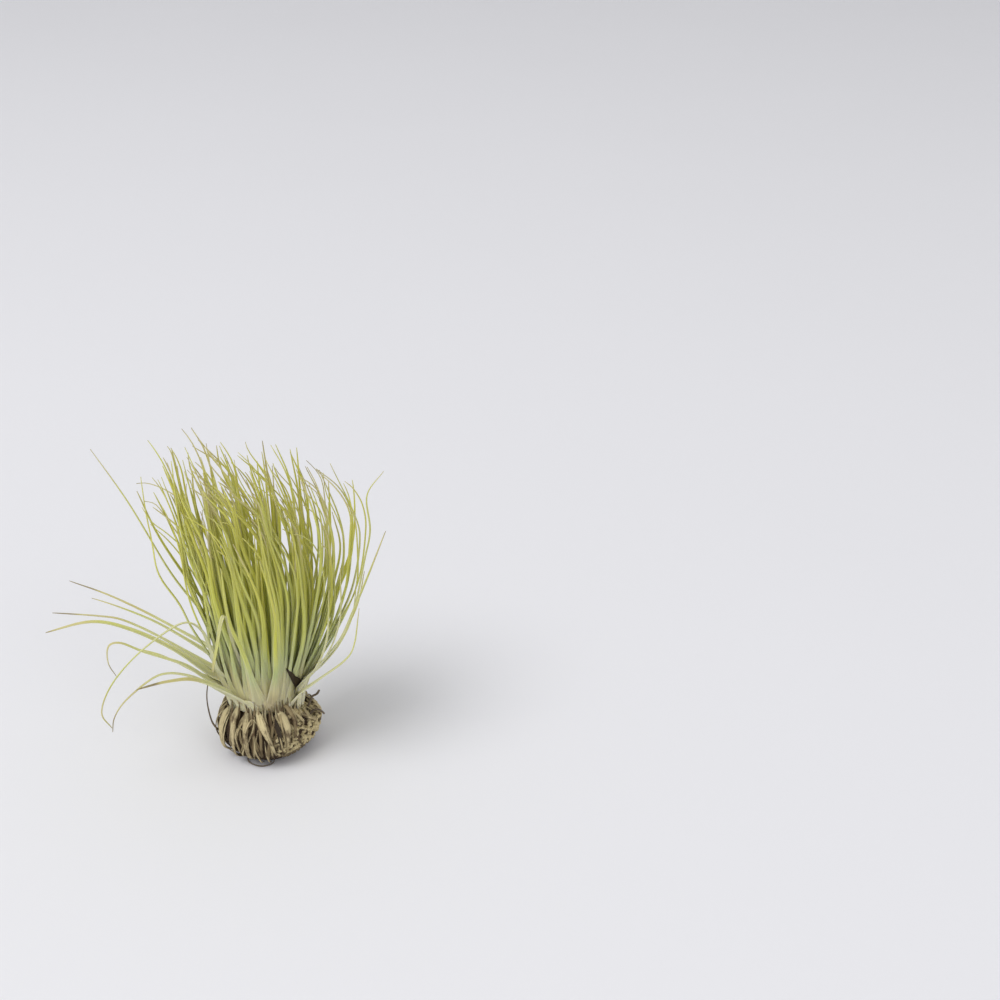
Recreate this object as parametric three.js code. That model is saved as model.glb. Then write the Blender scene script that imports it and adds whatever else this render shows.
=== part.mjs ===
// An air plant (Tillandsia magnusiana) standing on its own ball of dead leaf bases and roots.
// Millimetres, +Z up. The origin is the centre of the ball's flat underside. -Y is the front.
import * as THREE from "three";

// Root ball
const BALL_RADIUS = 27.6;
const BALL_FOOT_RADIUS = 16.5;
const CROWN_HEIGHT = 36;
const CROWN_RADIUS = 18.6;
const BALL_LOBES = 0.035;
const BALL_FACES_AROUND = 30;
const BALL_LEVELS = 12;

// Clearance between pieces that touch
const GAP = 0.3;

// Leaves: seats are circles on the crown, from the outside inwards
const SEAT_OUTER = 16.2;
const SEAT_SECOND = 12.2;
const SEAT_THIRD = 8.2;
const SEAT_INNER = 4.2;
const LEAF_BASE_WIDTH = 4.6;
const LEAF_BASE_THICKNESS = 1.7;
const LEAF_TIP_WIDTH = 0.9;
const LEAF_TIP_THICKNESS = 0.7;
const LEAF_CHANNEL = 0.22;
const LEAF_SPINE_STEP = 12;
const LEAF_FEWEST_STEPS = 7;

// The fan of crown leaves, from the outer ring of seats to the middle: lean from upright at the
// seat, lean at the tip (both in degrees) and length along the leaf
const FAN_OUTER = { lean: 36, tipLean: 4, length: 116 };
const FAN_SECOND = { lean: 25, tipLean: 3, length: 124 };
const FAN_THIRD = { lean: 14, tipLean: 2, length: 130 };
const FAN_INNER = { lean: 5, tipLean: 0, length: 131 };
const FAN_STATIONS = 5;
const LEAN_SPREAD = 5;
const LENGTH_SPREAD = 0.16;

// The tops of the crown leaves are combed this far towards -X at this height above the crown
const COMB_REACH = 6;
const COMB_HEIGHT = 125;

// Dead leaf bases that wrap the ball like ribs
const RIB_THICKNESS = 1.5;
const RIB_GAP = 0.45;
const RIB_TOP_HEIGHT = 34.6;
const RIB_BOTTOM_HEIGHT = 3;
const RIB_BACK_SHARE = 0.7;
const RIB_STEPS = 12;

// Dead roots
const WIRE_ROOT_RADIUS = 0.55;
const STUB_ROOT_RADIUS = 0.9;

// Leaves with a shape of their own. Each has its name, its seat as [azimuth in degrees, radius on
// the crown], its heading in degrees, and its rise, which lists
// [reach from the seat along the heading, height above the floor].

// Long leaves that reach out to the left
const LEFT_LEAVES = [
  ["leaf_left_1", [147, SEAT_OUTER], 163, [[6, 47], [18, 55], [49, 65], [79, 75], [101, 80]]],
  ["leaf_left_2", [165, SEAT_SECOND], 170, [[5, 46], [23, 58], [44, 67], [67, 76], [83, 80]]],
  ["leaf_left_3", [176, SEAT_OUTER], 180, [[6, 46], [14, 52], [37, 65], [57, 76], [71, 79], [95, 81]]],
  ["leaf_left_4", [193, SEAT_SECOND], 187, [[5, 45], [17, 51], [36, 64], [56, 77], [75, 83], [99, 78]]],
  ["leaf_left_hooked", [200, SEAT_OUTER], 196,
    [[4, 44], [15, 51], [27, 59], [46, 69], [57, 76], [63, 75], [64, 65], [61, 57]]],
  ["leaf_left_kinked", [216, SEAT_SECOND], 211,
    [[5, 46], [15, 60], [18, 74], [22, 86], [32, 89], [54, 79], [70, 65], [77, 50], [73, 39]]],
  ["leaf_left_drooping", [222, SEAT_OUTER], 204,
    [[4, 42], [14, 50], [24, 56], [36, 60], [46, 59], [60, 50], [66, 42], [68, 33]]],
  ["leaf_left_low", [244, SEAT_OUTER], 217, [[4, 43], [14, 52], [30, 61], [44, 65], [62, 67]]],
];

// Nearly straight leaves at the upper left
const UPPER_LEFT_LEAVES = [
  ["leaf_upper_left_1", [160, SEAT_THIRD], 166,
    [[4, 46], [10, 56], [26, 77], [41, 98], [60, 136], [79, 166]]],
  ["leaf_upper_left_2", [200, SEAT_THIRD], 190,
    [[2, 50], [9, 67], [19, 89], [30, 111], [41, 135], [49, 158]]],
  ["leaf_upper_left_3", [235, SEAT_THIRD], 202, [[1, 46], [9, 87], [22, 121], [32, 141], [44, 155]]],
  ["leaf_upper_left_4", [134, SEAT_SECOND], 148, [[3, 47], [20, 74], [32, 105], [38, 130], [44, 163]]],
  ["leaf_upper_left_5", [100, SEAT_THIRD], 138, [[3, 50], [16, 92], [25, 126], [36, 160], [46, 171]]],
];

// Leaves on the right, which swing out, rise and bend back
const RIGHT_LEAVES = [
  ["leaf_right_1", [357, SEAT_OUTER], 355,
    [[3, 41], [17, 55], [32, 80], [41, 117], [44, 133], [43, 152], [52, 166]]],
  ["leaf_right_2", [335, SEAT_OUTER], 343, [[5, 43], [16, 55], [30, 75], [38, 93], [46, 113], [57, 142]]],
  ["leaf_right_3", [312, SEAT_OUTER], 332, [[9, 42], [24, 53], [40, 70], [47, 83], [51, 105]]],
  ["leaf_right_4", [19, SEAT_OUTER], 13, [[10, 50], [23, 67], [33, 90], [38, 116], [36, 133], [25, 163]]],
  ["leaf_right_5", [20, SEAT_SECOND], 26, [[7, 46], [21, 62], [31, 85], [35, 109], [33, 129], [23, 158]]],
];

// A leaf whose top has folded over
const FOLDED_LEAF = [
  "leaf_folded", [241, SEAT_SECOND], 238,
  [[4, 50], [12, 74], [15, 92], [19, 92], [24, 80], [29, 67]],
];

// Dead roots, as points [x, y, z]
const SIDE_ROOT = [
  [-26.4, -8.4, 14.5], [-29.7, -8.9, 19.5], [-31.4, -8.6, 28], [-31.6, -8, 36], [-29.8, -7, 45],
];
const LOOP_ROOT = [
  [-9.4, -18.2, 0.7], [-6.6, -21.2, 0.7], [-1.6, -23.2, 0.7], [3, -21.4, 0.7], [4.6, -19, 0.7],
];
const STUB_ROOT_UPPER = [[24.8, -1, 30.5], [27.2, -1.4, 32.2], [28.8, -2, 35]];
const STUB_ROOT_LOWER = [[27.6, -6, 25.6], [29.8, -6.8, 25.2], [31.6, -7.2, 23.4]];

// Azimuths of the leaves of the fan, ring by ring
const FAN_RINGS = [
  { seat: SEAT_OUTER, fan: FAN_OUTER, azimuths: [266, 289, 42, 64, 86, 106, 126] },
  { seat: SEAT_SECOND, fan: FAN_SECOND, azimuths: [266, 292, 318, 344, 48, 76, 104] },
  { seat: SEAT_THIRD, fan: FAN_THIRD, azimuths: [272, 310, 348, 25, 62] },
  { seat: SEAT_INNER, fan: FAN_INNER, azimuths: [20, 110, 200, 290] },
];

// Ribs on the ball: azimuth at the top and bottom in degrees, width at the top and bottom
const RIBS = [
  [184, 188, 4.4, 3],
  [210, 214, 4.4, 3.2],
  [232, 236, 4, 2.8],
  [252, 256, 3.6, 2.6],
  [265, 283, 5, 3],
  [296, 301, 5.4, 3.2],
  [20, 14, 4.4, 3],
  [54, 50, 4.6, 3],
  [88, 92, 4.2, 2.8],
  [120, 117, 4.6, 3],
  [152, 156, 4.4, 3],
];

const DEG = Math.PI / 180;
const NUDGE = 0.01;

// Materials
const paint = (name, color, roughness) =>
  new THREE.MeshStandardMaterial({ name, color, roughness, metalness: 0 });
const leafPaint = () => paint("leaf", 0x9c9d4b, 0.6);
const ribPaint = () => paint("dry_husk", 0xb6ad89, 0.85);
const ballPaint = () => paint("root_mass", 0x6e5f42, 0.95);
const rootPaint = () => paint("dead_root", 0x5c4a38, 0.8);

// Evenly varied numbers from 0 to 1, the same every time
const vary = (index, salt) => {
  const wave = Math.sin(index * 12.9898 + salt * 78.233) * 43758.5453;
  return wave - Math.floor(wave);
};

// Outline of the ball from the underside's rim up to the crown's rim, as [radius, height]
const BALL_OUTLINE = [
  [BALL_FOOT_RADIUS, 0],
  [21.2, 3],
  [25.8, 8.6],
  [BALL_RADIUS, 15.5],
  [27, 23.5],
  [23.8, 31],
  [CROWN_RADIUS, CROWN_HEIGHT],
];
const ballCurve = new THREE.SplineCurve(BALL_OUTLINE.map(([r, z]) => new THREE.Vector2(r, z)));

// The ball is a little lobed round its middle and truly round at its foot and crown
const lobe = (azimuth, height) => {
  const middle = Math.sin(Math.PI * height / CROWN_HEIGHT);
  const wave = Math.sin(3 * azimuth + 0.6) + 0.7 * Math.sin(5 * azimuth + 2.1);
  return 1 + BALL_LOBES * middle * wave;
};

const ballPoint = (azimuth, along) => {
  const at = ballCurve.getPoint(along);
  const radius = at.x * lobe(azimuth, at.y);
  return new THREE.Vector3(radius * Math.cos(azimuth), radius * Math.sin(azimuth), at.y);
};

// How far along the ball's outline a height lies
const alongAtHeight = (height) => {
  let low = 0;
  let high = 1;
  for (let i = 0; i < 24; i += 1) {
    const middle = (low + high) / 2;
    if (ballCurve.getPoint(middle).y < height) {
      low = middle;
    } else {
      high = middle;
    }
  }
  return low;
};

const solid = (name, positions, triangles, material) => {
  const geometry = new THREE.BufferGeometry();
  geometry.setAttribute("position", new THREE.Float32BufferAttribute(positions, 3));
  geometry.setIndex(triangles);
  geometry.computeVertexNormals();
  const mesh = new THREE.Mesh(geometry, material);
  mesh.name = name;
  return mesh;
};

// A closed skin over rings of points, each ring of the same length, with a fan at both ends
const skin = (name, rings, material) => {
  const sides = rings[0].length;
  const positions = rings.flat().flatMap((p) => [p.x, p.y, p.z]);
  const triangles = [];
  for (let ring = 0; ring < rings.length - 1; ring += 1) {
    for (let side = 0; side < sides; side += 1) {
      const next = (side + 1) % sides;
      const a = ring * sides + side;
      const b = ring * sides + next;
      triangles.push(a, b, b + sides, a, b + sides, a + sides);
    }
  }
  const last = (rings.length - 1) * sides;
  for (let side = 1; side < sides - 1; side += 1) {
    triangles.push(0, side + 1, side);
    triangles.push(last, last + side, last + side + 1);
  }
  return solid(name, positions, triangles, material);
};

const makeBall = () => {
  const rings = [];
  for (let level = 0; level <= BALL_LEVELS; level += 1) {
    const ring = [];
    for (let step = 0; step < BALL_FACES_AROUND; step += 1) {
      ring.push(ballPoint(2 * Math.PI * step / BALL_FACES_AROUND, level / BALL_LEVELS));
    }
    rings.push(ring);
  }
  return skin("root_ball", rings, ballPaint());
};

// Width and thickness of a leaf from its base, 0, to its tip, 1
const leafWidth = (s) => LEAF_TIP_WIDTH + (LEAF_BASE_WIDTH - LEAF_TIP_WIDTH) * Math.pow(1 - s, 0.8);
const leafThickness = (s) =>
  LEAF_TIP_THICKNESS + (LEAF_BASE_THICKNESS - LEAF_TIP_THICKNESS) * Math.pow(1 - s, 1.4);

// A leaf is a channelled blade with four corners: keel, one edge, channel floor and the other edge.
// It starts level on its seat, and its channel faces the middle of the tuft.
const bladeRings = (points, across) => {
  const curve = new THREE.CatmullRomCurve3(points, false, "catmullrom", 0.5);
  const steps = Math.max(LEAF_FEWEST_STEPS, Math.round(curve.getLength() / LEAF_SPINE_STEP));
  const rings = [];
  for (let step = 0; step <= steps; step += 1) {
    const s = step / steps;
    const centre = curve.getPointAt(s);
    const ahead = step === 0 ? new THREE.Vector3(0, 0, 1) : curve.getTangentAt(s);
    const side = across.clone().addScaledVector(ahead, -across.dot(ahead)).normalize();
    const inward = new THREE.Vector3().crossVectors(ahead, side);
    const half = leafWidth(s) / 2;
    const thick = leafThickness(s) / 2;
    const channel = LEAF_CHANNEL * half * 2;
    const corner = (sideways, deep) =>
      centre.clone().addScaledVector(side, sideways).addScaledVector(inward, deep);
    rings.push([
      corner(0, -thick),
      corner(half, channel),
      corner(0, thick),
      corner(-half, channel),
    ]);
  }
  return rings;
};

const seatPoint = ([azimuth, radius]) => new THREE.Vector3(
  radius * Math.cos(azimuth * DEG),
  radius * Math.sin(azimuth * DEG),
  CROWN_HEIGHT + GAP,
);

const headingOf = (turn) => new THREE.Vector3(Math.cos(turn * DEG), Math.sin(turn * DEG), 0);

const makeShapedLeaf = ([name, seat, turn, rise]) => {
  const root = seatPoint(seat);
  const heading = headingOf(turn);
  const across = new THREE.Vector3(-heading.y, heading.x, 0);
  const points = rise.map(([reach, height]) =>
    new THREE.Vector3(root.x + heading.x * reach, root.y + heading.y * reach, height));
  return skin(name, bladeRings([root, ...points], across), leafPaint());
};

// A crown leaf leans outwards at its seat and straightens towards its tip
const makeFanLeaf = (name, seat, fan, index) => {
  const root = seatPoint(seat);
  const heading = headingOf(seat[0]);
  const across = new THREE.Vector3(-heading.y, heading.x, 0);
  const startLean = fan.lean + LEAN_SPREAD * (vary(index, 1) - 0.5);
  const length = fan.length * (1 + LENGTH_SPREAD * (vary(index, 2) - 0.5));
  const points = [root];
  let reach = 0;
  let height = root.z;
  for (let station = 0; station < FAN_STATIONS; station += 1) {
    const s = (station + 0.5) / FAN_STATIONS;
    const lean = (startLean + (fan.tipLean - startLean) * s) * DEG;
    reach += Math.sin(lean) * length / FAN_STATIONS;
    height += Math.cos(lean) * length / FAN_STATIONS;
    const combed = COMB_REACH * Math.pow((height - CROWN_HEIGHT) / COMB_HEIGHT, 2);
    points.push(new THREE.Vector3(
      root.x + heading.x * reach - combed,
      root.y + heading.y * reach,
      height,
    ));
  }
  return skin(name, bladeRings(points, across), leafPaint());
};

// A rib lies on the ball from the crown's edge down, from one azimuth to another, in degrees
const makeRib = (name, topAzimuth, bottomAzimuth, topWidth, bottomWidth) => {
  const top = alongAtHeight(RIB_TOP_HEIGHT);
  const bottom = alongAtHeight(RIB_BOTTOM_HEIGHT);
  const rings = [];
  for (let step = 0; step <= RIB_STEPS; step += 1) {
    const s = step / RIB_STEPS;
    const azimuth = (topAzimuth + (bottomAzimuth - topAzimuth) * s) * DEG;
    const along = top + (bottom - top) * s;
    const onBall = ballPoint(azimuth, along);
    const upwards = ballPoint(azimuth, along + NUDGE).sub(ballPoint(azimuth, along - NUDGE)).normalize();
    const around = new THREE.Vector3(-Math.sin(azimuth), Math.cos(azimuth), 0);
    const outward = new THREE.Vector3().crossVectors(around, upwards).normalize();
    const half = (topWidth + (bottomWidth - topWidth) * s) / 2;
    const corner = (sideways, proud) =>
      onBall.clone().addScaledVector(around, sideways).addScaledVector(outward, proud);
    rings.push([
      corner(half * RIB_BACK_SHARE, RIB_GAP + RIB_THICKNESS),
      corner(-half * RIB_BACK_SHARE, RIB_GAP + RIB_THICKNESS),
      corner(-half, RIB_GAP),
      corner(half, RIB_GAP),
    ]);
  }
  return skin(name, rings, ribPaint());
};

// A round root along a curve through points
const makeRoot = (name, radius, steps, points) => {
  const section = new THREE.Shape();
  section.absarc(0, 0, radius, 0, 2 * Math.PI, false);
  const path = new THREE.CatmullRomCurve3(points.map(([x, y, z]) => new THREE.Vector3(x, y, z)));
  const geometry = new THREE.ExtrudeGeometry(section, {
    steps,
    extrudePath: path,
    curveSegments: 4,
    bevelEnabled: false,
  });
  const mesh = new THREE.Mesh(geometry, rootPaint());
  mesh.name = name;
  return mesh;
};

const group = new THREE.Group();
group.add(makeBall());
for (const leaf of [...LEFT_LEAVES, ...UPPER_LEFT_LEAVES, ...RIGHT_LEAVES, FOLDED_LEAF]) {
  group.add(makeShapedLeaf(leaf));
}
let fanIndex = 0;
for (const { seat, fan, azimuths } of FAN_RINGS) {
  for (const azimuth of azimuths) {
    fanIndex += 1;
    group.add(makeFanLeaf(`leaf_crown_${fanIndex}`, [azimuth, seat], fan, fanIndex));
  }
}
RIBS.forEach(([top, bottom, topWidth, bottomWidth], index) => {
  group.add(makeRib(`husk_rib_${index + 1}`, top, bottom, topWidth, bottomWidth));
});
group.add(makeRoot("root_side", WIRE_ROOT_RADIUS, 9, SIDE_ROOT));
group.add(makeRoot("root_loop", WIRE_ROOT_RADIUS, 8, LOOP_ROOT));
group.add(makeRoot("root_stub_1", STUB_ROOT_RADIUS, 3, STUB_ROOT_UPPER));
group.add(makeRoot("root_stub_2", STUB_ROOT_RADIUS, 3, STUB_ROOT_LOWER));

export default group;
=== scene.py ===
"""An air plant that stands on its own ball of dead leaf bases and roots.

The leaves are swept strips along curves, the ball is a packed mass wrapped in dry husks, and
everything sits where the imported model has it. Tables are in millimetres, objects in metres.
"""

import math
import random
from functools import cache
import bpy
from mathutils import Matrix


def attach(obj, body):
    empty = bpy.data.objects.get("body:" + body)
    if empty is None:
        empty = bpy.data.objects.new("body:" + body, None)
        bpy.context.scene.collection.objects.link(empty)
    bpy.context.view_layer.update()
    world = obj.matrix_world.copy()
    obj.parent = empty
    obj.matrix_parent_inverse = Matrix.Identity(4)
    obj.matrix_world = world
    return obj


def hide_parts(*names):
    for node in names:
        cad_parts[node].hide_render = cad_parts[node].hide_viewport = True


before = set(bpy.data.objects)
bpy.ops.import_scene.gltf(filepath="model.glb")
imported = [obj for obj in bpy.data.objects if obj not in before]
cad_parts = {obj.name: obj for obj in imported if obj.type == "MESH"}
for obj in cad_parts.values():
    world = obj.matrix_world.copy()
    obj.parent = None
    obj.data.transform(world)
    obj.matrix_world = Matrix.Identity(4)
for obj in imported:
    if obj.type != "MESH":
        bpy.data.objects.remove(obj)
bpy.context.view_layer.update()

from types import SimpleNamespace

import bpy
from bpy.props import FloatProperty, FloatVectorProperty, IntProperty, PointerProperty
from mathutils import Vector

bl_info = {
    "name": "Air plant",
    "version": (1, 0, 0),
    "blender": (4, 5, 0),
    "location": "View3D > Sidebar > Air plant",
    "description": "Builds an air plant with channelled leaves on a ball of dry husks",
    "category": "Add Mesh",
}

BODY = "root"
MM = 0.001

# Crown and ball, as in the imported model
CROWN_HEIGHT = 36
GAP = 0.3
BALL_OUTLINE = [
    (16.5, 0), (21.2, 3), (25.8, 8.6), (27.6, 15.5), (27, 23.5), (23.8, 31), (18.6, 36),
]
BALL_LOBES = 0.035
CAP_RINGS = 10

# The husky part of the ball ends at this height, lower at the back and sides than in front.
# The pale sheaths of the outer leaves fill the rest of the ball's height, as a neck.
WAIST = 14
SHOULDER_FRONT = 34
SHOULDER_BACK = 28
SHOULDER_DIP = 3
DIP_AZIMUTH = 18
NECK_RADIUS = 19

# A sheath starts this far below the shoulder and inside the neck. The outer ones swell out by
# so much halfway up and at the seat, and a flare adds to that.
SHEATH_OVERLAP = 4
SHEATH_INSET = 0.8
MIDDLE_SWELL = 1.6
MIDDLE_FLARE = 1.8
SEAT_SWELL = 4
SEAT_FLARE = 3.6

# The sheaths' feet gather towards this azimuth by this share of the way
GATHER_AZIMUTH = 293
GATHER = 0.36

# The right-hand leaves' feet stand below their own headings instead, and a little higher
RIGHT_GATHER = 0.9
RIGHT_FLARE = 0.3
RIGHT_LIFT = 4

# Radii of the rings of leaf seats on the crown
SEAT_OUTER = 16.2
SEAT_SECOND = 12.2
SEAT_THIRD = 8.2
SEAT_INNER = 4.2

# How much leaves differ in girth and in twist
LEAF_GIRTHS = (0.88, 1.12)
LEAF_TWISTS = (-0.9, 0.9)

# Leaves with a shape of their own: name, seat as (azimuth in degrees, radius on the crown),
# heading in degrees, and rise as (reach from the seat, height above the floor)
LEFT_LEAVES = [
    ("leaf_left_1", (147, SEAT_OUTER), 163, [(6, 47), (18, 55), (49, 65), (79, 75), (101, 80)]),
    ("leaf_left_2", (165, SEAT_SECOND), 170, [(5, 46), (23, 58), (44, 67), (67, 76), (83, 80)]),
    ("leaf_left_3", (176, SEAT_OUTER), 180,
     [(6, 46), (14, 52), (37, 65), (57, 76), (71, 79), (95, 81)]),
    ("leaf_left_4", (193, SEAT_SECOND), 187,
     [(5, 45), (17, 51), (36, 64), (56, 77), (75, 83), (99, 78)]),
    ("leaf_left_hooked", (200, SEAT_OUTER), 196,
     [(4, 44), (15, 51), (27, 59), (46, 69), (57, 76), (63, 75), (64, 65), (61, 57)]),
    ("leaf_left_kinked", (216, SEAT_SECOND), 211,
     [(5, 46), (15, 60), (18, 74), (22, 86), (32, 89), (54, 79), (70, 65), (77, 50), (73, 39)]),
    ("leaf_left_drooping", (222, SEAT_OUTER), 204,
     [(4, 42), (14, 50), (24, 56), (36, 60), (46, 59), (60, 50), (66, 42), (68, 33)]),
    ("leaf_left_low", (244, SEAT_OUTER), 217, [(4, 43), (14, 52), (30, 61), (44, 65), (62, 67)]),
]
UPPER_LEFT_LEAVES = [
    ("leaf_upper_left_1", (160, SEAT_THIRD), 166,
     [(4, 46), (10, 56), (26, 77), (41, 98), (60, 136), (79, 166)]),
    ("leaf_upper_left_2", (200, SEAT_THIRD), 190,
     [(2, 50), (9, 67), (19, 89), (30, 111), (41, 135), (49, 158)]),
    ("leaf_upper_left_3", (235, SEAT_THIRD), 202,
     [(1, 46), (9, 87), (22, 121), (32, 141), (44, 155)]),
    ("leaf_upper_left_4", (134, SEAT_SECOND), 148,
     [(3, 47), (20, 74), (32, 105), (38, 130), (44, 163)]),
    ("leaf_upper_left_5", (100, SEAT_THIRD), 138,
     [(3, 50), (16, 92), (25, 126), (36, 160), (46, 171)]),
]
RIGHT_LEAVES = [
    ("leaf_right_1", (357, SEAT_OUTER), 355,
     [(3, 41), (17, 55), (32, 80), (41, 117), (44, 133), (43, 152), (52, 166)]),
    ("leaf_right_2", (335, SEAT_OUTER), 343,
     [(5, 43), (16, 55), (30, 75), (38, 93), (46, 113), (57, 142)]),
    ("leaf_right_3", (312, SEAT_OUTER), 332, [(9, 43.5), (24, 55.5), (40, 71), (47, 83), (51, 105)]),
    ("leaf_right_4", (19, SEAT_OUTER), 13,
     [(10, 50), (23, 67), (33, 90), (38, 116), (36, 133), (25, 163)]),
    ("leaf_right_5", (20, SEAT_SECOND), 26,
     [(7, 46), (21, 62), (31, 85), (35, 109), (33, 129), (23, 158)]),
]
FOLDED_LEAVES = [
    ("leaf_folded", (241, SEAT_SECOND), 238,
     [(4, 50), (12, 74), (15, 92), (19, 92), (24, 80), (29, 67)]),
]

# How those groups are finished: seed, rings along a leaf, least tone, dryness, silver, how far
# they sag where they leave the neck, and sizes in metres that differ from the other leaves'
SHAPED_GROUPS = [
    (LEFT_LEAVES, 11, 76, 1.1, 1.5, 0.9, 4.5, {"foot_width": 0.0116, "foot_length": 0.056}),
    (UPPER_LEFT_LEAVES, 12, 60, 0.4, 1, 0.3, 0, {}),
    (RIGHT_LEAVES, 13, 68, 0.6, 1, 0.9, 0, {}),
    (FOLDED_LEAVES, 14, 76, 0.9, 0.7, 1.3, 0, {"tip_width": 0.001, "taper": 0.35}),
]

# How much broader these leaves are than the others
STOUT_LEAVES = {
    "leaf_left_3": 1.5, "leaf_left_4": 1.5, "leaf_left_low": 1.2, "leaf_left_drooping": 1.2,
    "leaf_left_kinked": 1.2, "leaf_right_5": 1.3, "leaf_folded": 1.25,
}

# More leaves that show on their own, as heading in degrees, seat radius and rise from the axis
FREE_LEAVES = [
    (198, SEAT_SECOND, [(29, 107), (36, 124), (44, 135), (51, 143), (55, 152)]),
    (163, SEAT_SECOND, [(26, 100), (32, 128), (40, 141), (50, 147), (59, 149), (66, 148)]),
    (172, SEAT_SECOND, [(32, 106), (39, 121), (45, 131), (50, 139), (53, 142), (58, 143)]),
    (150, SEAT_SECOND, [(31, 78), (41, 95), (46, 120), (48, 142), (51, 161), (54, 166)]),
    (138, SEAT_SECOND, [(24, 93), (32, 126), (38, 151), (44, 162), (49, 168), (55, 171)]),
    (140, SEAT_SECOND, [(4, 57), (7, 111), (13, 146), (20, 156), (29, 164), (40, 172)]),
    (192, SEAT_OUTER, [(24, 44), (27, 55), (28, 70), (29, 90), (28, 112), (30, 135), (35, 153)]),
    (178, SEAT_OUTER, [(23, 46), (27, 65), (29, 90), (34, 105), (43, 121), (53, 133)]),
    (185, SEAT_OUTER, [(23, 45), (26, 62), (28, 86), (29, 108), (34, 130), (36, 149)]),
    (170, SEAT_OUTER, [(24, 48), (29, 72), (30, 95), (29, 118), (31, 140), (35, 168)]),
    (203, SEAT_OUTER, [(24, 46), (28, 66), (28, 92), (27, 118), (30, 140), (37, 158)]),
    (212, SEAT_OUTER, [(24, 47), (27, 68), (30, 94), (31, 118), (33, 138), (38, 151)]),
    (224, SEAT_OUTER, [(23, 47), (27, 70), (28, 92), (30, 118), (36, 143)]),
    (238, SEAT_OUTER, [(22, 47), (25, 70), (26, 95), (29, 120), (32, 139)]),
    (252, SEAT_OUTER, [(21, 47), (24, 72), (24, 100), (27, 132)]),
    (160, SEAT_SECOND, [(21, 52), (29, 78), (31, 105), (32, 130), (38, 158)]),
    (6, SEAT_OUTER, [(38, 66), (52, 98), (57, 126), (56, 141), (52, 151), (47, 156)]),
    (20, SEAT_SECOND, [(34, 58), (47, 90), (51, 119), (51, 133), (45, 148), (34, 160)]),
    (350, SEAT_OUTER, [(32, 62), (46, 96), (51, 132), (51, 146), (45, 158), (35, 168)]),
    (35, SEAT_OUTER, [(30, 58), (42, 84), (46, 109), (42, 129), (37, 145), (32, 158)]),
    (345, SEAT_SECOND, [(28, 60), (38, 90), (43, 120), (42, 137), (36, 159), (31, 170)]),
    (330, SEAT_OUTER, [(25, 54), (36, 92), (42, 122), (41, 143), (35, 163), (30, 172)]),
    (50, SEAT_OUTER, [(30, 56), (42, 80), (46, 104), (43, 128), (33, 154)]),
    (80, SEAT_THIRD, [(17, 46), (26, 75), (29, 122), (27, 147), (22, 171)]),
    (60, SEAT_THIRD, [(18, 46), (24, 58), (36, 97), (39, 131), (34, 163)]),
    (270, SEAT_OUTER, [(21.5, 47), (24, 62), (26, 85), (26, 110), (24, 138)]),
    (279, SEAT_OUTER, [(22, 47), (25, 66), (27, 90), (29, 118), (30, 142)]),
    (285, SEAT_SECOND, [(21, 50), (25, 75), (27, 102), (29, 128)]),
    (301, SEAT_OUTER, [(21.5, 48), (24, 66), (26, 92), (29, 122)]),
    (318, SEAT_SECOND, [(20, 50), (25, 75), (29, 104), (31, 132)]),
    (343, SEAT_SECOND, [(23, 45), (39, 65), (46, 75), (50, 84), (54, 93), (57, 102), (60, 116)]),
    (283, SEAT_SECOND, [(20, 50), (22.5, 66), (24.5, 88), (25, 112), (23, 138)]),
    (326, SEAT_THIRD, [(17, 48), (21, 60), (24, 76), (26, 100), (25, 134)]),
    (337, SEAT_THIRD, [(17, 46), (21, 58), (24, 74), (26, 98), (25, 136)]),
]

# Silvery lower leaves at both sides, as azimuth of the foot, heading and rise from the axis
SILVERY_LEAVES = [
    (200, 190, [(23, 40), (32, 46), (42, 53), (55, 62), (66, 67)]),
    (352, 350, [(24, 44), (33, 54), (43, 68), (50, 84), (53, 104)]),
    (338, 338, [(23, 45), (33, 56), (42, 72), (48, 92), (48, 118)]),
    (316, 327, [(22.3, 42), (28, 49), (38, 62), (46, 84), (48, 110)]),
]
SILVERY_FLARE = 0.4
SILVERY_LOOK = (1, 0.6, 1.4)

# The fan: lean at the seat and at the tip in degrees, and length along the leaf
FAN_OUTER = (36, 4, 116)
FAN_SECOND = (25, 3, 124)
FAN_THIRD = (14, 2, 130)
FAN_INNER = (5, 0, 131)
FAN_STATIONS = 5
LEAN_SPREAD = 5
LENGTH_SPREAD = 0.16
COMB_REACH = 6
COMB_HEIGHT = 125
FAN_RINGS = [
    (SEAT_OUTER, FAN_OUTER, (266, 289, 42, 64, 86, 106, 126)),
    (SEAT_SECOND, FAN_SECOND, (266, 292, 318, 344, 48, 76, 104)),
    (SEAT_THIRD, FAN_THIRD, (272, 310, 348, 25, 62)),
    (SEAT_INNER, FAN_INNER, (20, 110, 200, 290)),
]

# The rest of the tuft grows in a spiral. On the left and in front its leaves lean out less, the
# combing draws them over less on the left than on the right, and some places there stay empty.
SPIRAL_LEAVES = 208
SPIRAL_GROUPS = 8
SPIRAL_INNER = 2.5
SPIRAL_OUTER = SEAT_OUTER + 0.6
GOLDEN_ANGLE = 137.508
LEFT_HOLD = 0.2
LEFT_RISE = 6
LEFT_EMPTY = 0.25
FRONT_HOLD = 0.45
COMBED_LEFT = -0.8
COMBED_RIGHT = 0.5

# What differs from one leaf of the spiral to the next, as least and most
SPIRAL_TURNS = (-16, 16)
SPIRAL_SEAT_LEANS = (-8, 7)
SPIRAL_TIP_LEANS = (-5, 4)
SPIRAL_LENGTHS = (0.8, 1.08)
SPIRAL_CURLS = (2, 10)
SPIRAL_BENDS = (1.5, 4.8)
SPIRAL_COMBINGS = (4, 13)
SPIRAL_GIRTHS = (0.7, 1.15)

# Between these heights the combing of the tuft to the left sets in and reaches its full measure
COMB_FROM = 92
COMB_FULL = 165

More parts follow.
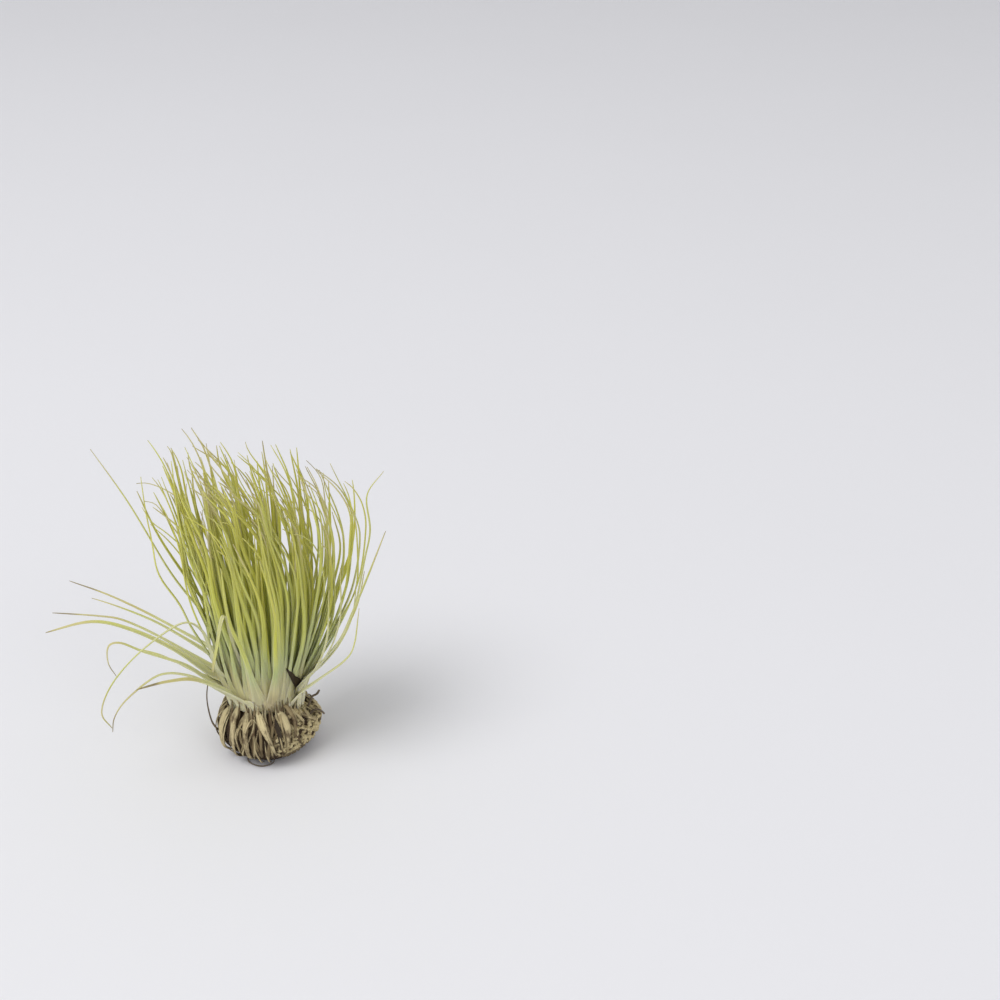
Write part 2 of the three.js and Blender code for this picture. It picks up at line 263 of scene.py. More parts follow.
# Blades stick together in bunches about this far apart. They are drawn in between these two
# heights, by this much at the most.
BUNCH_SIZE = 15
BUNCH_FROM = 65
BUNCH_FULL = 120
BUNCH_PULL = 2
BUNCH_WARP = 1.3

# Ribs stand this far off the ball and wander by so many degrees. Each has an azimuth at the top
# and bottom, a width there, its lower end, and how wide its upper end is as a share of the top.
RIB_TOP_HEIGHT = 34.6
RIB_LIFT = 1.1
RIB_WANDER = 1.5
RIBS = [
    (184, 188, 5.2, 3, 3, 0.25), (210, 214, 5.4, 3, 3, 0.25), (232, 236, 4.8, 2.6, 3, 0.25),
    (250, 255, 3.8, 2, 3, 0.25), (266, 288, 6.6, 0.6, 8, 0.75), (297, 302, 8.4, 0.6, 15, 0.75),
    (20, 14, 4.8, 3, 5, 0.25), (54, 50, 4.8, 3, 5, 0.25), (88, 92, 4.6, 2.8, 3, 0.25),
    (120, 117, 5, 3, 3, 0.25), (152, 156, 4.8, 3, 3, 0.25),
]

# Single husks and fibres: width, tone from pale to brown with tones above 1 painted near-black as
# shade, and points as (azimuth, level, lift)
SINGLE_HUSKS = [
    (3.2, 0.75, [(288, 35, 1.6), (296, 36.5, 2.6), (305, 35, 2.7), (310, 30, 2.4), (310, 24, 1.8),
                 (308, 18, 1)]),
    # This one is near-black: a strip of painted shade that stands for the shadowed hollow below the
    # ribs
    (3.4, 1.2, [(287, 34, -0.3), (289, 28, 0.1), (291, 20, 0.1), (292, 12, -0.4)]),
    (1.9, 0.2, [(266, 30, 1.6), (260, 31.5, 2), (256, 29, 2.2), (254, 25, 2), (256, 20, 1.4)]),
    (1.4, 0.3, [(252, 25, 1.4), (247, 27, 2), (243, 25, 2), (242, 20, 1.5), (245, 13, 1)]),
    (1.7, 0.5, [(274, 21, 0.6), (275, 14, 1.4), (277, 6, 1.3), (279, 1.5, 0.6)]),
    (1.5, 0.45, [(263, 24, 0.8), (264, 15, 1.4), (267, 6, 1.2), (268, 1.5, 0.6)]),
    (2.6, 0.3, [(197, 34, 0.6), (198, 26, 1.2), (199, 14, 1.2), (200, 3, 0.6)]),
    (1.3, 0.1, [(221, 33, 0.6), (224, 24, 1), (221, 12, 1.2), (225, 3, 0.6)]),
    (1.8, 0.9, [(311, 33, 0.8), (313, 27, 1.6), (309, 22, 1.6), (312, 17, 0.8)]),
]

# A dead sheath that gapes between the live ones, painted near-black as the shade of the gap: points
# as (azimuth, radius, height)
DEAD_SHEATH = [(338, 15, 34), (331, 20, 41), (323, 23.3, 46.5), (314, 24.6, 53), (306, 25.2, 60)]
DEAD_SHEATH_WIDTH = 12
DEAD_SHEATH_CURL = math.radians(50)

# Narrower husks in layers: name, first and last azimuth, how many, how far off the ball, how far
# each may slant and wander in degrees, levels of the lower ends, widths, and tones
HUSK_LAYERS = [
    ("husks_deep_left", 165, 262, 18, -1.5, 10, 4, (1.5, 9), (1.4, 2.8), (0.8, 1.1)),
    ("husks_deep_front", 250, 318, 14, -1.4, 16, 4, (1.5, 9), (1.4, 2.6), (0.8, 1.1)),
    ("husks_deep_back", 20, 170, 24, -1.2, 10, 3, (1.5, 9), (1.4, 3.0), (0.7, 1.1)),
    ("husks_mid_left", 172, 262, 10, -0.6, 12, 5, (1.5, 9), (1.6, 3.2), (0.35, 0.8)),
    ("husks_mid_back", 28, 172, 16, -0.6, 12, 5, (1.5, 9), (1.6, 3.4), (0.35, 0.8)),
    ("husks_mid_front", 252, 300, 7, -0.6, 12, 4, (1.5, 9), (1.4, 2.6), (0.45, 0.85)),
    ("husks_neck_right", 310, 390, 15, 0.4, 10, 3, (22, 29), (2.0, 4.0), (0.1, 0.7)),
    ("husks_left", 176, 258, 5, 0.1, 7, 4, (1.5, 9), (1.0, 1.8), (0.0, 0.7)),
    ("husks_front", 256, 312, 5, 0.1, 18, 4, (1.5, 9), (0.9, 1.8), (0.1, 0.8)),
    ("husks_back", 25, 170, 15, 0.4, 9, 4, (1.5, 9), (1.6, 3.4), (0.1, 0.8)),
]
HUSK_TOPS = (30, 35)
HUSK_STATIONS = 10
HUSK_STEPS = 4

# A husk's lower end is pressed this far into the ball
HUSK_PRESSED = 0.9

# Crumbs lie only above this height in metres, where the ball is spongy and not deeply sunk
CRUMB_FLOOR = 0.0075
CRUMB_SPONGY = 0.8
CRUMB_DEPTH = 0.35

# Dead roots: name, radius as a share of the setting, how much of it is left at the tip, points
THIN_ROOTS = [
    ("root_side", 1, 0.5, [
        (-23.5, -7.8, 12), (-26.4, -8.4, 14.5), (-28.9, -8.9, 19.5), (-30.4, -8.6, 28),
        (-30.6, -8, 36), (-29.2, -7, 45)]),
    ("root_loop", 0.75, 0.7, [
        (-9.5, -15, 2), (-9.4, -18.2, 0.9), (-6.6, -21.2, 0.7), (-1.6, -23.2, 0.7), (3, -21.4, 0.7),
        (4.6, -19, 0.9), (4.2, -15.5, 2)]),
]
STUB_ROOTS = [
    ("root_stub_1", 1, 0.8, [
        (20.4, -1.8, 21), (23.2, -1.3, 27), (24.8, -1, 30.5), (27.2, -1.4, 32.2), (28.8, -2, 35)]),
    ("root_stub_2", 1, 0.7, [
        (21.6, -5.2, 20.6), (25, -5.6, 24.4), (27.6, -6, 25.6), (29.8, -6.8, 25.2),
        (31.6, -7.2, 23.4)]),
]

# The camera stands where the photograph was taken from. Lights are place and size. All of
# these are in metres, and the lens and sensor in millimetres.
CAMERA_PLACE = (0.1261, -0.7438, 0.509)
CAMERA_PITCH = 25.9
CAMERA_LENS = 58.5
SENSOR = 36
KEY_LIGHT = ((-2.0, -1.6, 3.9), 2.9)
FILL_LIGHT = ((2.4, -2.6, 2.2), 2.6)
LIGHT_AIM = Vector((0, 0, 0.08))
FLOOR_SIDES = 96
SWEEP_STEPS = 16


def described(kind, name, description, default, **more):
    return kind(name=name, description=description, default=default, **more)


def colour(name, description, *shade):
    """A colour setting from a screen colour of 0 to 255, which is made linear."""
    linear = [
        value / 255 / 12.92 if value <= 10 else ((value / 255 + 0.055) / 1.055) ** 2.4
        for value in shade]
    return described(
        FloatVectorProperty, name, description, (*linear, 1), subtype="COLOR", size=4, min=0, max=1)


def length(name, description, default):
    return described(FloatProperty, name, description, default, unit="LENGTH", min=0)


def share(name, description, default):
    return described(FloatProperty, name, description, default, subtype="FACTOR")


def turn(name, description, default):
    return described(FloatProperty, name, description, math.radians(default), subtype="ANGLE")


class LeafSettings(bpy.types.PropertyGroup):
    foot_width: length("Sheath width", "Width of the clasping sheath at a leaf's foot", 0.0106)
    foot_length: length("Sheath length", "How far up the sheath reaches", 0.041)
    blade_width: length("Blade width", "Width of the blade above its sheath", 0.0034)
    tip_width: length("Tip width", "Width of the thread tip", 0.0003)
    foot_thickness: length("Sheath thickness", "Thickness at the foot", 0.0011)
    tip_thickness: length("Tip thickness", "Thickness at the tip", 0.00035)
    taper: share("Taper", "How evenly the blade narrows", 0.55)
    foot_curl: turn("Sheath curl", "Half angle of the sheath's arc", 20)
    blade_curl: turn("Blade curl", "Half angle of the blade's channel", 50)
    tip_curl: turn("Tip curl", "Half angle of the rolled tip", 88)
    shingle: turn("Shingle", "How far each sheath is yawed so that it laps its neighbour", 14)
    sheath_colour: colour("Sheath", "The pale clasping foot", 200, 190, 138)
    silver_colour: colour("Silver", "Scales on the lower blade", 216, 211, 178)
    low_colour: colour("Lower blade", "Grey green of the lower blade", 174, 187, 122)
    mid_colour: colour("Middle blade", "Yellow green of the blade", 195, 196, 65)
    high_colour: colour("Upper blade", "Paler yellow green near the top", 199, 194, 86)
    dry_colour: colour("Dry tip", "Straw colour where a tip dries", 194, 184, 134)
    dead_colour: colour("Dead tip", "Brown of a dead tip", 136, 122, 96)
    husk_colour: colour("Dry foot", "Where a sheath has dried into a husk", 168, 148, 104)


class HuskSettings(bpy.types.PropertyGroup):
    thickness: length("Thickness", "Thickness of a dry husk", 0.0006)
    curl: turn("Curl", "Half angle of a husk's arch", 34)
    raggedness: share("Raggedness", "How uneven a husk's edges are", 0.5)
    top_colour: colour("Husk top", "Where a husk still joins the pale sheaths", 196, 186, 146)
    pale_colour: colour("Pale husk", "Bleached dry husk", 215, 200, 154)
    straw_colour: colour("Straw", "Dry husk", 153, 133, 92)
    brown_colour: colour("Brown", "Old husk and stains", 84, 64, 40)
    # Near-black of the deep gaps: dark inner tissue, and painted shade in the gaps, below the ball
    # and on the strips that stand for shadowed hollows
    dark_and_shade_colour: colour("Dark", "Deep gaps", 38, 28, 18)


class BallSettings(bpy.types.PropertyGroup):
    furrow_depth: length("Furrow depth", "How deep the gaps between husks are", 0.0024)
    pit_depth: length("Pit depth", "How deep the holes of the spongy side are", 0.0030)
    density: described(FloatProperty, "Crumb density", "Crumbs per square metre", 1900000)
    smallest: length("Smallest crumb", "Radius of the smallest crumbs", 0.0002)
    largest: length("Largest crumb", "Radius of the largest crumbs", 0.00055)
    meridians: described(IntProperty, "Meridians", "Faces round the ball", 380, min=12)
    parallels: described(IntProperty, "Parallels", "Faces up the ball", 110, min=6)


class RootSettings(bpy.types.PropertyGroup):
    thin_radius: length("Thin root radius", "Radius of the wiry roots", 0.00055)
    stub_radius: length("Stub root radius", "Radius of the short roots", 0.00068)
    root_colour: colour("Root", "Dead root", 122, 108, 90)


class StageSettings(bpy.types.PropertyGroup):
    floor_radius: length("Floor radius", "Where the flat floor ends and the sweep begins", 3.5)
    sweep_radius: length("Sweep radius", "How high and how far out the sweep rises", 2)
    floor_colour: colour("Floor", "Plain pale floor", 234, 234, 238)
    key_power: described(FloatProperty, "Key", "Power of the soft key light", 112, unit="POWER")
    fill_power: described(FloatProperty, "Fill", "Power of the soft fill light", 14, unit="POWER")
    world_strength: described(FloatProperty, "Sky", "Strength of the even light", 0.55)


SETTINGS = {
    "air_plant_leaf": LeafSettings,
    "air_plant_husk": HuskSettings,
    "air_plant_ball": BallSettings,
    "air_plant_root": RootSettings,
    "air_plant_stage": StageSettings,
}


class Wire:
    """A socket that can be used in sums. Each sum adds its Math node."""

    def __init__(self, bench, socket):
        self.bench = bench
        self.socket = socket

    def maths(self, operation, *others):
        inputs = dict(enumerate((self, *others)))
        return self.bench.put("Math", {"operation": operation}, inputs)

    def __add__(self, other):
        return self.maths("ADD", other)

    __radd__ = __add__

    def __mul__(self, other):
        return self.maths("MULTIPLY", other)

    __rmul__ = __mul__

    def __sub__(self, other):
        return self.maths("SUBTRACT", other)

    def __rsub__(self, other):
        return self.bench.put("Math", {"operation": "SUBTRACT"}, {0: other, 1: self})

    def __truediv__(self, other):
        return self.maths("DIVIDE", other)

    def __pow__(self, other):
        return self.maths("POWER", other)

    def clamped(self):
        return self.bench.put("Clamp", {}, {"Value": self})


class Bench:
    """A node tree that is being built."""

    def __init__(self, tree):
        self.tree = tree

    def join(self, socket, value):
        if isinstance(value, Wire):
            self.tree.links.new(value.socket, socket)
        else:
            socket.default_value = value

    def put(self, kind, settings=None, inputs=None, out=0):
        """Adds a node of this type, which is named without its family. Settings come first.

        out is an output's name or number, or a tuple of them, which gives several wires.
        """
        families = ("ShaderNode", "GeometryNode", "FunctionNode")
        family = next(start for start in families if hasattr(bpy.types, start + kind))
        node = self.tree.nodes.new(family + kind)
        for key, value in (settings or {}).items():
            setattr(node, key, value)
        for key, value in (inputs or {}).items():
            self.join(node.inputs[key], value)
        if isinstance(out, tuple):
            return [Wire(self, node.outputs[key]) for key in out]
        return Wire(self, node.outputs[out])

    def split(self, vector):
        return self.put("SeparateXYZ", {}, {0: vector}, ("X", "Y", "Z"))

    def vector(self, x, y, z):
        return self.put("CombineXYZ", {}, {"X": x, "Y": y, "Z": z})

    def vectors(self, operation, a, b=(0, 0, 0)):
        out = "Value" if operation == "DOT_PRODUCT" else "Vector"
        return self.put("VectorMath", {"operation": operation}, {0: a, 1: b}, out)

    def scaled(self, vector, amount):
        return self.put("VectorMath", {"operation": "SCALE"}, {0: vector, "Scale": amount}, "Vector")

    def shifted(self, place, direction, amount):
        return self.vectors("ADD", place, self.scaled(direction, amount))

    def ease(self, value, low, high):
        """0 below low, 1 above high, smooth between."""
        inputs = {"Value": value, "From Min": low, "From Max": high}
        return self.put("MapRange", {"interpolation_type": "SMOOTHSTEP"}, inputs)

    def tint(self, amount, a, b):
        return self.put("Mix", {"data_type": "RGBA"}, {0: amount, 6: a, 7: b}, 2)

    def coat(self, skin, shade, value, low, high, most=1):
        """Lays a shade over a skin where a value rises from low to high."""
        amount = self.ease(value, low, high)
        return self.tint(amount if most == 1 else amount * most, skin, shade)

    def noise(self, vector, scale, detail=2, out="Fac"):
        return self.put("TexNoise", {}, {"Vector": vector, "Scale": scale, "Detail": detail}, out)

    def named(self, name, kind="FLOAT_VECTOR"):
        return self.put("InputNamedAttribute", {"data_type": kind}, {"Name": name})

    def change(self, geometry, kind, settings=None, **inputs):
        """Adds a node that changes this geometry."""
        return self.put(kind, settings, {"Geometry": geometry, **inputs})

    def store(self, geometry, name, value, domain="POINT", kind="FLOAT_VECTOR"):
        settings = {"data_type": kind, "domain": domain}
        return self.change(geometry, "StoreNamedAttribute", settings, Name=name, Value=value)


def between(start, stop, amount):
    return start + (stop - start) * amount


def new_tree(name, **inputs):
    """A geometry tree with one geometry in and out, and these named inputs with their defaults."""
    tree = bpy.data.node_groups.new(name, "GeometryNodeTree")
    face = tree.interface
    face.new_socket(name="Geometry", in_out="OUTPUT", socket_type="NodeSocketGeometry")
    face.new_socket(name="Geometry", in_out="INPUT", socket_type="NodeSocketGeometry")
    kinds = {int: "NodeSocketInt", float: "NodeSocketFloat"}
    for label, default in inputs.items():
        kind = kinds.get(type(default), "NodeSocketMaterial")
        socket = face.new_socket(name=label, in_out="INPUT", socket_type=kind)
        if default is not None:
            socket.default_value = default
    bench = Bench(tree)
    start = tree.nodes.new("NodeGroupInput")
    wires = {socket.name.lower(): Wire(bench, socket) for socket in start.outputs if socket.name}
    return bench, SimpleNamespace(**wires)


def close_tree(bench, geometry, material):
    """Every tree ends the same way: real faces, none below the floor, smooth, with the material."""
    geometry = bench.change(geometry, "RealizeInstances")
    x, y, z = bench.split(bench.put("InputPosition"))
    above = bench.vector(x, y, z.maths("MAXIMUM", 0.0))
    geometry = bench.change(geometry, "SetPosition", Position=above)
    geometry = bench.change(geometry, "SetShadeSmooth")
    geometry = bench.change(geometry, "SetMaterial", Material=material)
    end = bench.tree.nodes.new("NodeGroupOutput")
    bench.join(end.inputs[0], geometry)
    return bench.tree


@cache
def strip_tree():
    """Sweeps a closed channelled section along each line of its mesh: leaves and dry husks.

    The lines carry three vectors: across (which way the width lies), build (girth, twist and
    length) and look (tone, dryness and a number of its own).
    """
    bench, given = new_tree(
        "swept_strips", rings=48, sides=12, foot_width=0.01, foot_length=0.02, blade_width=0.004,
        tip_width=0.0006, taper=0.8, foot_thickness=0.001, tip_thickness=0.0004, foot_curl=0.5,
        blade_curl=1.0, tip_curl=2.0, shingle=0.0, raggedness=0.0, material=None)
    lines = bench.put("MeshToCurve", {}, {"Mesh": given.geometry})
    count = bench.put(
        "AttributeDomainSize", {"component": "CURVE"}, {"Geometry": lines}, "Spline Count")
    seats = bench.put("Points", {}, {"Count": count})
    tube = bench.put(
        "MeshCylinder", {"fill_type": "NGON"},
        {"Vertices": given.sides, "Side Segments": given.rings, "Radius": 1.0, "Depth": 1.0}, "Mesh")
    tubes = bench.put("InstanceOnPoints", {}, {"Points": seats, "Instance": tube})
    tubes = bench.store(tubes, "line", bench.put("InputIndex"), "INSTANCE", "INT")
    tubes = bench.change(tubes, "RealizeInstances")
    line = bench.named("line", "INT")
    round_x, round_y, height = bench.split(bench.put("InputPosition"))
    along = height + 0.5

    def sample(name, out="Value"):
        inputs = {"Curves": lines, "Value": bench.named(name), "Factor": along, "Curve Index": line}
        return bench.put("SampleCurve", {"mode": "FACTOR", "data_type": "FLOAT_VECTOR"}, inputs, out)

    across, place, ahead = sample("across", ("Value", "Position", "Tangent"))
    girth, twist, reach = bench.split(sample("build"))
    look = sample("look")
    own = bench.split(look)[2]

    lengthwise = bench.scaled(ahead, bench.vectors("DOT_PRODUCT", across, ahead))
    side = bench.vectors("NORMALIZE", bench.vectors("SUBTRACT", across, lengthwise))
    inward = bench.vectors("CROSS_PRODUCT", ahead, side)
    distance = along * reach
    foot = (1 - distance / given.foot_length).clamped() ** 1.6
    yaw = given.shingle * foot + twist * along
    cosine, sine = yaw.maths("COSINE"), yaw.maths("SINE")
    side_turned = bench.shifted(bench.scaled(side, cosine), inward, sine)
    inward_turned = bench.shifted(bench.scaled(inward, cosine), side, sine * -1.0)

    blade = between(given.tip_width, given.blade_width, (1 - along) ** given.taper)
    rooted = bench.ease(distance, -0.004, 0.011)
    width = girth * (blade + (given.foot_width - given.blade_width) * foot) * rooted
    uneven = bench.noise(bench.vector(distance * 420.0, own * 40.0, round_x * 1.5), 1.0, 3) - 0.5
    width = width * (1 + given.raggedness * uneven * 2.0)
    thick = between(given.foot_thickness, given.tip_thickness, along ** 0.7)
    curl = between(given.blade_curl, given.tip_curl, bench.ease(along, 0.45, 1.0))
    curl = between(curl, given.foot_curl, foot)

    radius = width / (curl * 2.0)
    bend = curl * round_x
    sideways, upright = bend.maths("SINE"), bend.maths("COSINE")
    proud = thick * 0.5 * round_y
    spot = bench.shifted(place, side_turned, radius * sideways - proud * sideways)
    spot = bench.shifted(spot, inward_turned, radius * (1 - upright) + proud * upright)
    marks = {"blade": bench.vector(along, round_x, round_y), "look": look, "spot": spot}
    for name, value in marks.items():
        tubes = bench.store(tubes, name, value)
    strips = bench.change(tubes, "SetPosition", Position=bench.named("spot"))
    strips = bench.change(strips, "RemoveAttribute", Name="spot")
    return close_tree(bench, strips, given.material)


@cache
def root_tree():
    """Sweeps an uneven round section along each line of its mesh."""
    bench, given = new_tree(
        "round_roots", radius=0.0005, tip_share=0.5, unevenness=0.25, material=None)
    lines = bench.put("MeshToCurve", {}, {"Mesh": given.geometry})
    along = bench.put("SplineParameter", {}, {}, "Factor")
    lump = bench.noise(bench.put("InputPosition"), 420.0, 1) - 0.5
    radius = given.radius * between(1, given.tip_share, along) * (1 + given.unevenness * lump * 2.0)
    lines = bench.put("SetCurveRadius", {}, {"Curve": lines, "Radius": radius})
    ring = bench.put("CurvePrimitiveCircle", {}, {"Resolution": 10, "Radius": 1.0}, "Curve")
    tubes = bench.put("CurveToMesh", {}, {
        "Curve": lines, "Profile Curve": ring, "Fill Caps": True, "Scale": bench.put("InputRadius"),
    })
    return close_tree(bench, tubes, given.material)


@cache
def ball_tree():
    """Presses furrows and spongy pits into a smooth ball."""
    bench, given = new_tree("packed_ball", furrow_depth=0.002, pit_depth=0.003, material=None)
    place = bench.put("InputPosition")
    x, y, z = bench.split(place)
    azimuth = y.maths("ARCTAN2", x)
    spongy = bench.ease(x + bench.noise(place, 90.0) * 0.012, 0.010, 0.017)
    held = bench.ease(z, 0.0, 0.004)
    furrow = bench.noise(bench.vector(azimuth * 7.0, z * 30.0, 0.0), 1.0, 3)
    furrow = bench.ease((furrow - 0.5).maths("ABSOLUTE"), 0.0, 0.16)
    warped = bench.shifted(place, bench.noise(place, 220.0, 2, "Color"), 0.004)
    cells = bench.put("TexVoronoi", {"feature": "F1"}, {"Vector": warped, "Scale": 460.0}, "Distance")
    pit = bench.ease(cells, 0.35, 0.75)
    hollow = bench.ease(bench.noise(place, 170.0), 0.54, 0.66)
    rough = bench.noise(place, 700.0, 3) - 0.5
    lumps = (bench.noise(place, 240.0) - 0.5) * (1 - spongy)
    sunk_left = (1 - furrow) * 0.3 + 0.7
    sunk_right = (pit * 0.55 + hollow * 0.75).clamped()
    sunk = sunk_left * given.furrow_depth * (1 - spongy) + sunk_right * given.pit_depth * spongy
    push = (rough * 0.0011 + lumps * 0.0024 - sunk) * held
    offset = bench.scaled(bench.put("InputNormal"), push)
    ball = bench.change(given.geometry, "SetPosition", Offset=offset)
    depth = (sunk / given.pit_depth).clamped()
    ball = bench.store(ball, "look", bench.vector(depth, spongy, 0.0))
    return close_tree(bench, ball, given.material)


@cache
def crumb_tree():
    """Scatters small lumps over the faces of its mesh."""
    bench, given = new_tree(
        "crumbs", density=400000.0, smallest=0.0005, largest=0.0014, seed=3, material=None)
    spots, turned = bench.put(
        "DistributePointsOnFaces", {"distribute_method": "RANDOM"},
        {"Mesh": given.geometry, "Density": given.density, "Seed": given.seed},
        ("Points", "Rotation"))
    lump = bench.put("MeshUVSphere", {}, {"Radius": 1.0, "Segments": 6, "Rings": 4}, "Mesh")
    place = bench.put("InputPosition")
    dented = bench.scaled(place, bench.noise(place, 1.3) + 0.5)
    lump = bench.change(lump, "SetPosition", Position=dented)
    a, b, c = bench.split(bench.put(
        "RandomValue", {"data_type": "FLOAT_VECTOR"},
        {"Min": (0.0, 0.0, 0.0), "Max": (1.0, 1.0, 1.0), "Seed": given.seed}))
    sizes = [between(given.smallest, given.largest, part) for part in (a, b, c * 0.6)]
    inputs = {"Points": spots, "Instance": lump, "Rotation": turned, "Scale": bench.vector(*sizes)}
    lumps = bench.put("InstanceOnPoints", {}, inputs)
    lumps = bench.store(lumps, "look", bench.vector(a * 0.2, 1.0, b), "INSTANCE")
    return close_tree(bench, lumps, given.material)


def add_object(name, data):
    thing = bpy.data.objects.new(name, data)
    bpy.context.scene.collection.objects.link(thing)
    return thing


def make_piece(name, mesh, tree, settings, slot, *nodes, **sizes):
    """Shapes a mesh by a geometry tree, keeps the plain mesh that comes out and seats the piece.

    The tree's inputs come from sizes, or else from the settings of the same names. The piece moves
    with the plant and stands for these nodes. The slot is not used.
    """
    piece = add_object(name, mesh)
    modifier = piece.modifiers.new("shape", "NODES")
    modifier.node_group = tree
    for item in tree.interface.items_tree:
        value = sizes.get(item.name, getattr(settings, item.name, None))
        if item.in_out == "INPUT" and value is not None:
            modifier[item.identifier] = value
    graph = bpy.context.evaluated_depsgraph_get()
    shaped = bpy.data.meshes.new_from_object(
        piece.evaluated_get(graph), preserve_all_data_layers=True, depsgraph=graph)
    piece.modifiers.remove(modifier)
    piece.data = shaped
    bpy.data.meshes.remove(mesh)
    shaped.name = name
    if not shaped.polygons:
        raise RuntimeError(name + " came out empty")
    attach(piece, BODY)
    if nodes:
        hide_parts(*nodes)


def vary(index, salt):
    """Evenly varied numbers from 0 to 1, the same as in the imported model."""
    wave = math.sin(index * 12.9898 + salt * 78.233) * 43758.5453
    return wave - math.floor(wave)


def polar(azimuth, radius, height=0.0):
    angle = math.radians(azimuth)
    return Vector((radius * math.cos(angle), radius * math.sin(angle), height))


def turn_between(start, stop):
    """The shorter way round from one azimuth to another, in degrees."""
    return (stop - start + 180) % 360 - 180


def blend(value, low, high):
    """0 below low, 1 above high, smooth between."""
    s = min(max((value - low) / (high - low), 0), 1)
    return s * s * (3 - 2 * s)


def facing(azimuth, towards):
    """The cosine of the angle from an azimuth to another."""
    return math.cos(math.radians(azimuth - towards))


def smooth_path(points, per_span=8):
    """A smooth curve through points, as a list of points."""
    ends = [points[0] * 2 - points[1], *points, points[-1] * 2 - points[-2]]
    path = []
    for before, start, stop, after in zip(ends, ends[1:], ends[2:], ends[3:]):
        leave = (stop - before) / 2
        arrive = (after - start) / 2
        square = start * -3 + stop * 3 - leave * 2 - arrive
        cube = start * 2 - stop * 2 + leave + arrive
        for step in range(per_span):
            t = step / per_span
            path.append(start + leave * t + square * t * t + cube * t * t * t)
    path.append(points[-1])
    return path


def line_mesh(name, strips):
    """Lines for the strip tree. Each strip is a dict of path, across, girth, twist and look."""
    points, edges, across, build, look = [], [], [], [], []
    for strip in strips:
        path = [point * MM for point in strip["path"]]
        edges += [(i, i + 1) for i in range(len(points), len(points) + len(path) - 1)]
        points += path
        reach = sum((b - a).length for a, b in zip(path, path[1:]))
        build += (strip["girth"], strip["twist"], reach) * len(path)
        look += strip["look"] * len(path)
        for side in strip["across"]:
            across.extend(side)
    mesh = bpy.data.meshes.new(name)
    mesh.from_pydata(points, edges, [])
    for label, values in (("across", across), ("build", build), ("look", look)):
        mesh.attributes.new(label, "FLOAT_VECTOR", "POINT").data.foreach_set("vector", values)
    return mesh


def ring_mesh(name, rings, first, last=None):
    """A surface from a first point through rings of points to a last point, or left open there."""
    around = len(rings[0])
    points = [first, *(point for ring in rings for point in ring)]
    top = len(points) - around
    faces = []
    for k in range(around):
        after = (k + 1) % around
        faces.append((0, 1 + after, 1 + k))
        for low in range(1, top, around):
            faces.append((low + k, low + after, low + around + after, low + around + k))
        if last is not None:
            faces.append((top + k, top + after, len(points)))
    if last is not None:
        points.append(last)
    mesh = bpy.data.meshes.new(name)
    mesh.from_pydata(points, [], faces)
    return mesh


def shoulder(azimuth):
    """How high the husky part of the ball stands at an azimuth."""
    front = blend(facing(azimuth, 270), 0.3, 0.85)
    dip = blend(facing(azimuth, DIP_AZIMUTH), 0.65, 1)
    return between(SHOULDER_BACK, SHOULDER_FRONT, front) - SHOULDER_DIP * dip


def sheath_start(seat, flare=0.0, towards=GATHER_AZIMUTH, gather=GATHER):
    """Where a leaf's sheath grows out of the ball: two points below its seat, and the seat.

    A flare carries the sheath outwards at once, as on the leaves that reach out to the sides.
    The feet stand closer together at the front, so the sheaths there sweep out to both sides.
    """
    azimuth, radius = seat
    outer = blend(radius, SEAT_SECOND, SEAT_OUTER)
    away = turn_between(azimuth, towards)
    turned = gather * away * (1 - blend(abs(away), 60, 140)) * outer
    below = shoulder(azimuth + turned) - SHEATH_OVERLAP
    foot = radius + (NECK_RADIUS - SHEATH_INSET - radius) * outer
    at_middle = foot + (MIDDLE_SWELL + MIDDLE_FLARE * flare) * outer
    at_seat = radius + (SEAT_SWELL + SEAT_FLARE * flare) * outer
    return [
        polar(azimuth + turned, foot, below),
        polar(azimuth + turned * 0.7, at_middle, (below + CROWN_HEIGHT) / 2 + 1),
        polar(azimuth + turned * 0.35, at_seat, CROWN_HEIGHT + 2),
    ]


def sway(path, draw, amount, wiggle):
    """Bends a leaf's upper part in one slow wave and a smaller quick one."""
    slow = polar(draw.uniform(0, 360), amount)
    quick = polar(draw.uniform(0, 360), wiggle)
    phase, other = draw.uniform(0, math.tau), draw.uniform(0, math.tau)
    turns, ripples = draw.uniform(0.6, 1.2), draw.uniform(2.0, 3.6)
    out = []
    for i, point in enumerate(path):
        s = i / (len(path) - 1)
        wave = math.sin(phase + s * turns * math.tau) - math.sin(phase)
        ripple = math.sin(other + s * ripples * math.tau) - math.sin(other)
        out.append(point + slow * (s * s * wave) + quick * (s * ripple))
    return out


def comb(path, reach):
    """Draws the upper part to the left, as the whole tuft leans there, and into bunches."""
    out = []
    for point in path:
        s = max(0, (point.z - COMB_FROM) / (COMB_FULL - COMB_FROM))
        point = point - Vector((reach * s * s, 0, 0))
        pull = BUNCH_PULL * blend(point.z, BUNCH_FROM, BUNCH_FULL)
        x, y = point.x / BUNCH_SIZE, point.y / BUNCH_SIZE
        across = math.sin(x * math.tau + BUNCH_WARP * math.sin(y))
        ahead = math.sin(y * math.tau + BUNCH_WARP * math.sin(x))
        out.append(point + Vector((pull * across, pull * ahead, 0)))
    return out


def curl_tip(path, draw, strength):
    """Rolls the last stretch of a leaf to one side."""
    begin = draw.uniform(0.78, 0.9)
    side = polar(draw.uniform(120, 260), 1) + Vector((0, 0, draw.uniform(-1.2, 0.3)))
    out = []
    for i, point in enumerate(path):
        s = max(0, (i / (len(path) - 1) - begin) / (1 - begin))
        out.append(point + side * (strength * s * s))
    return out


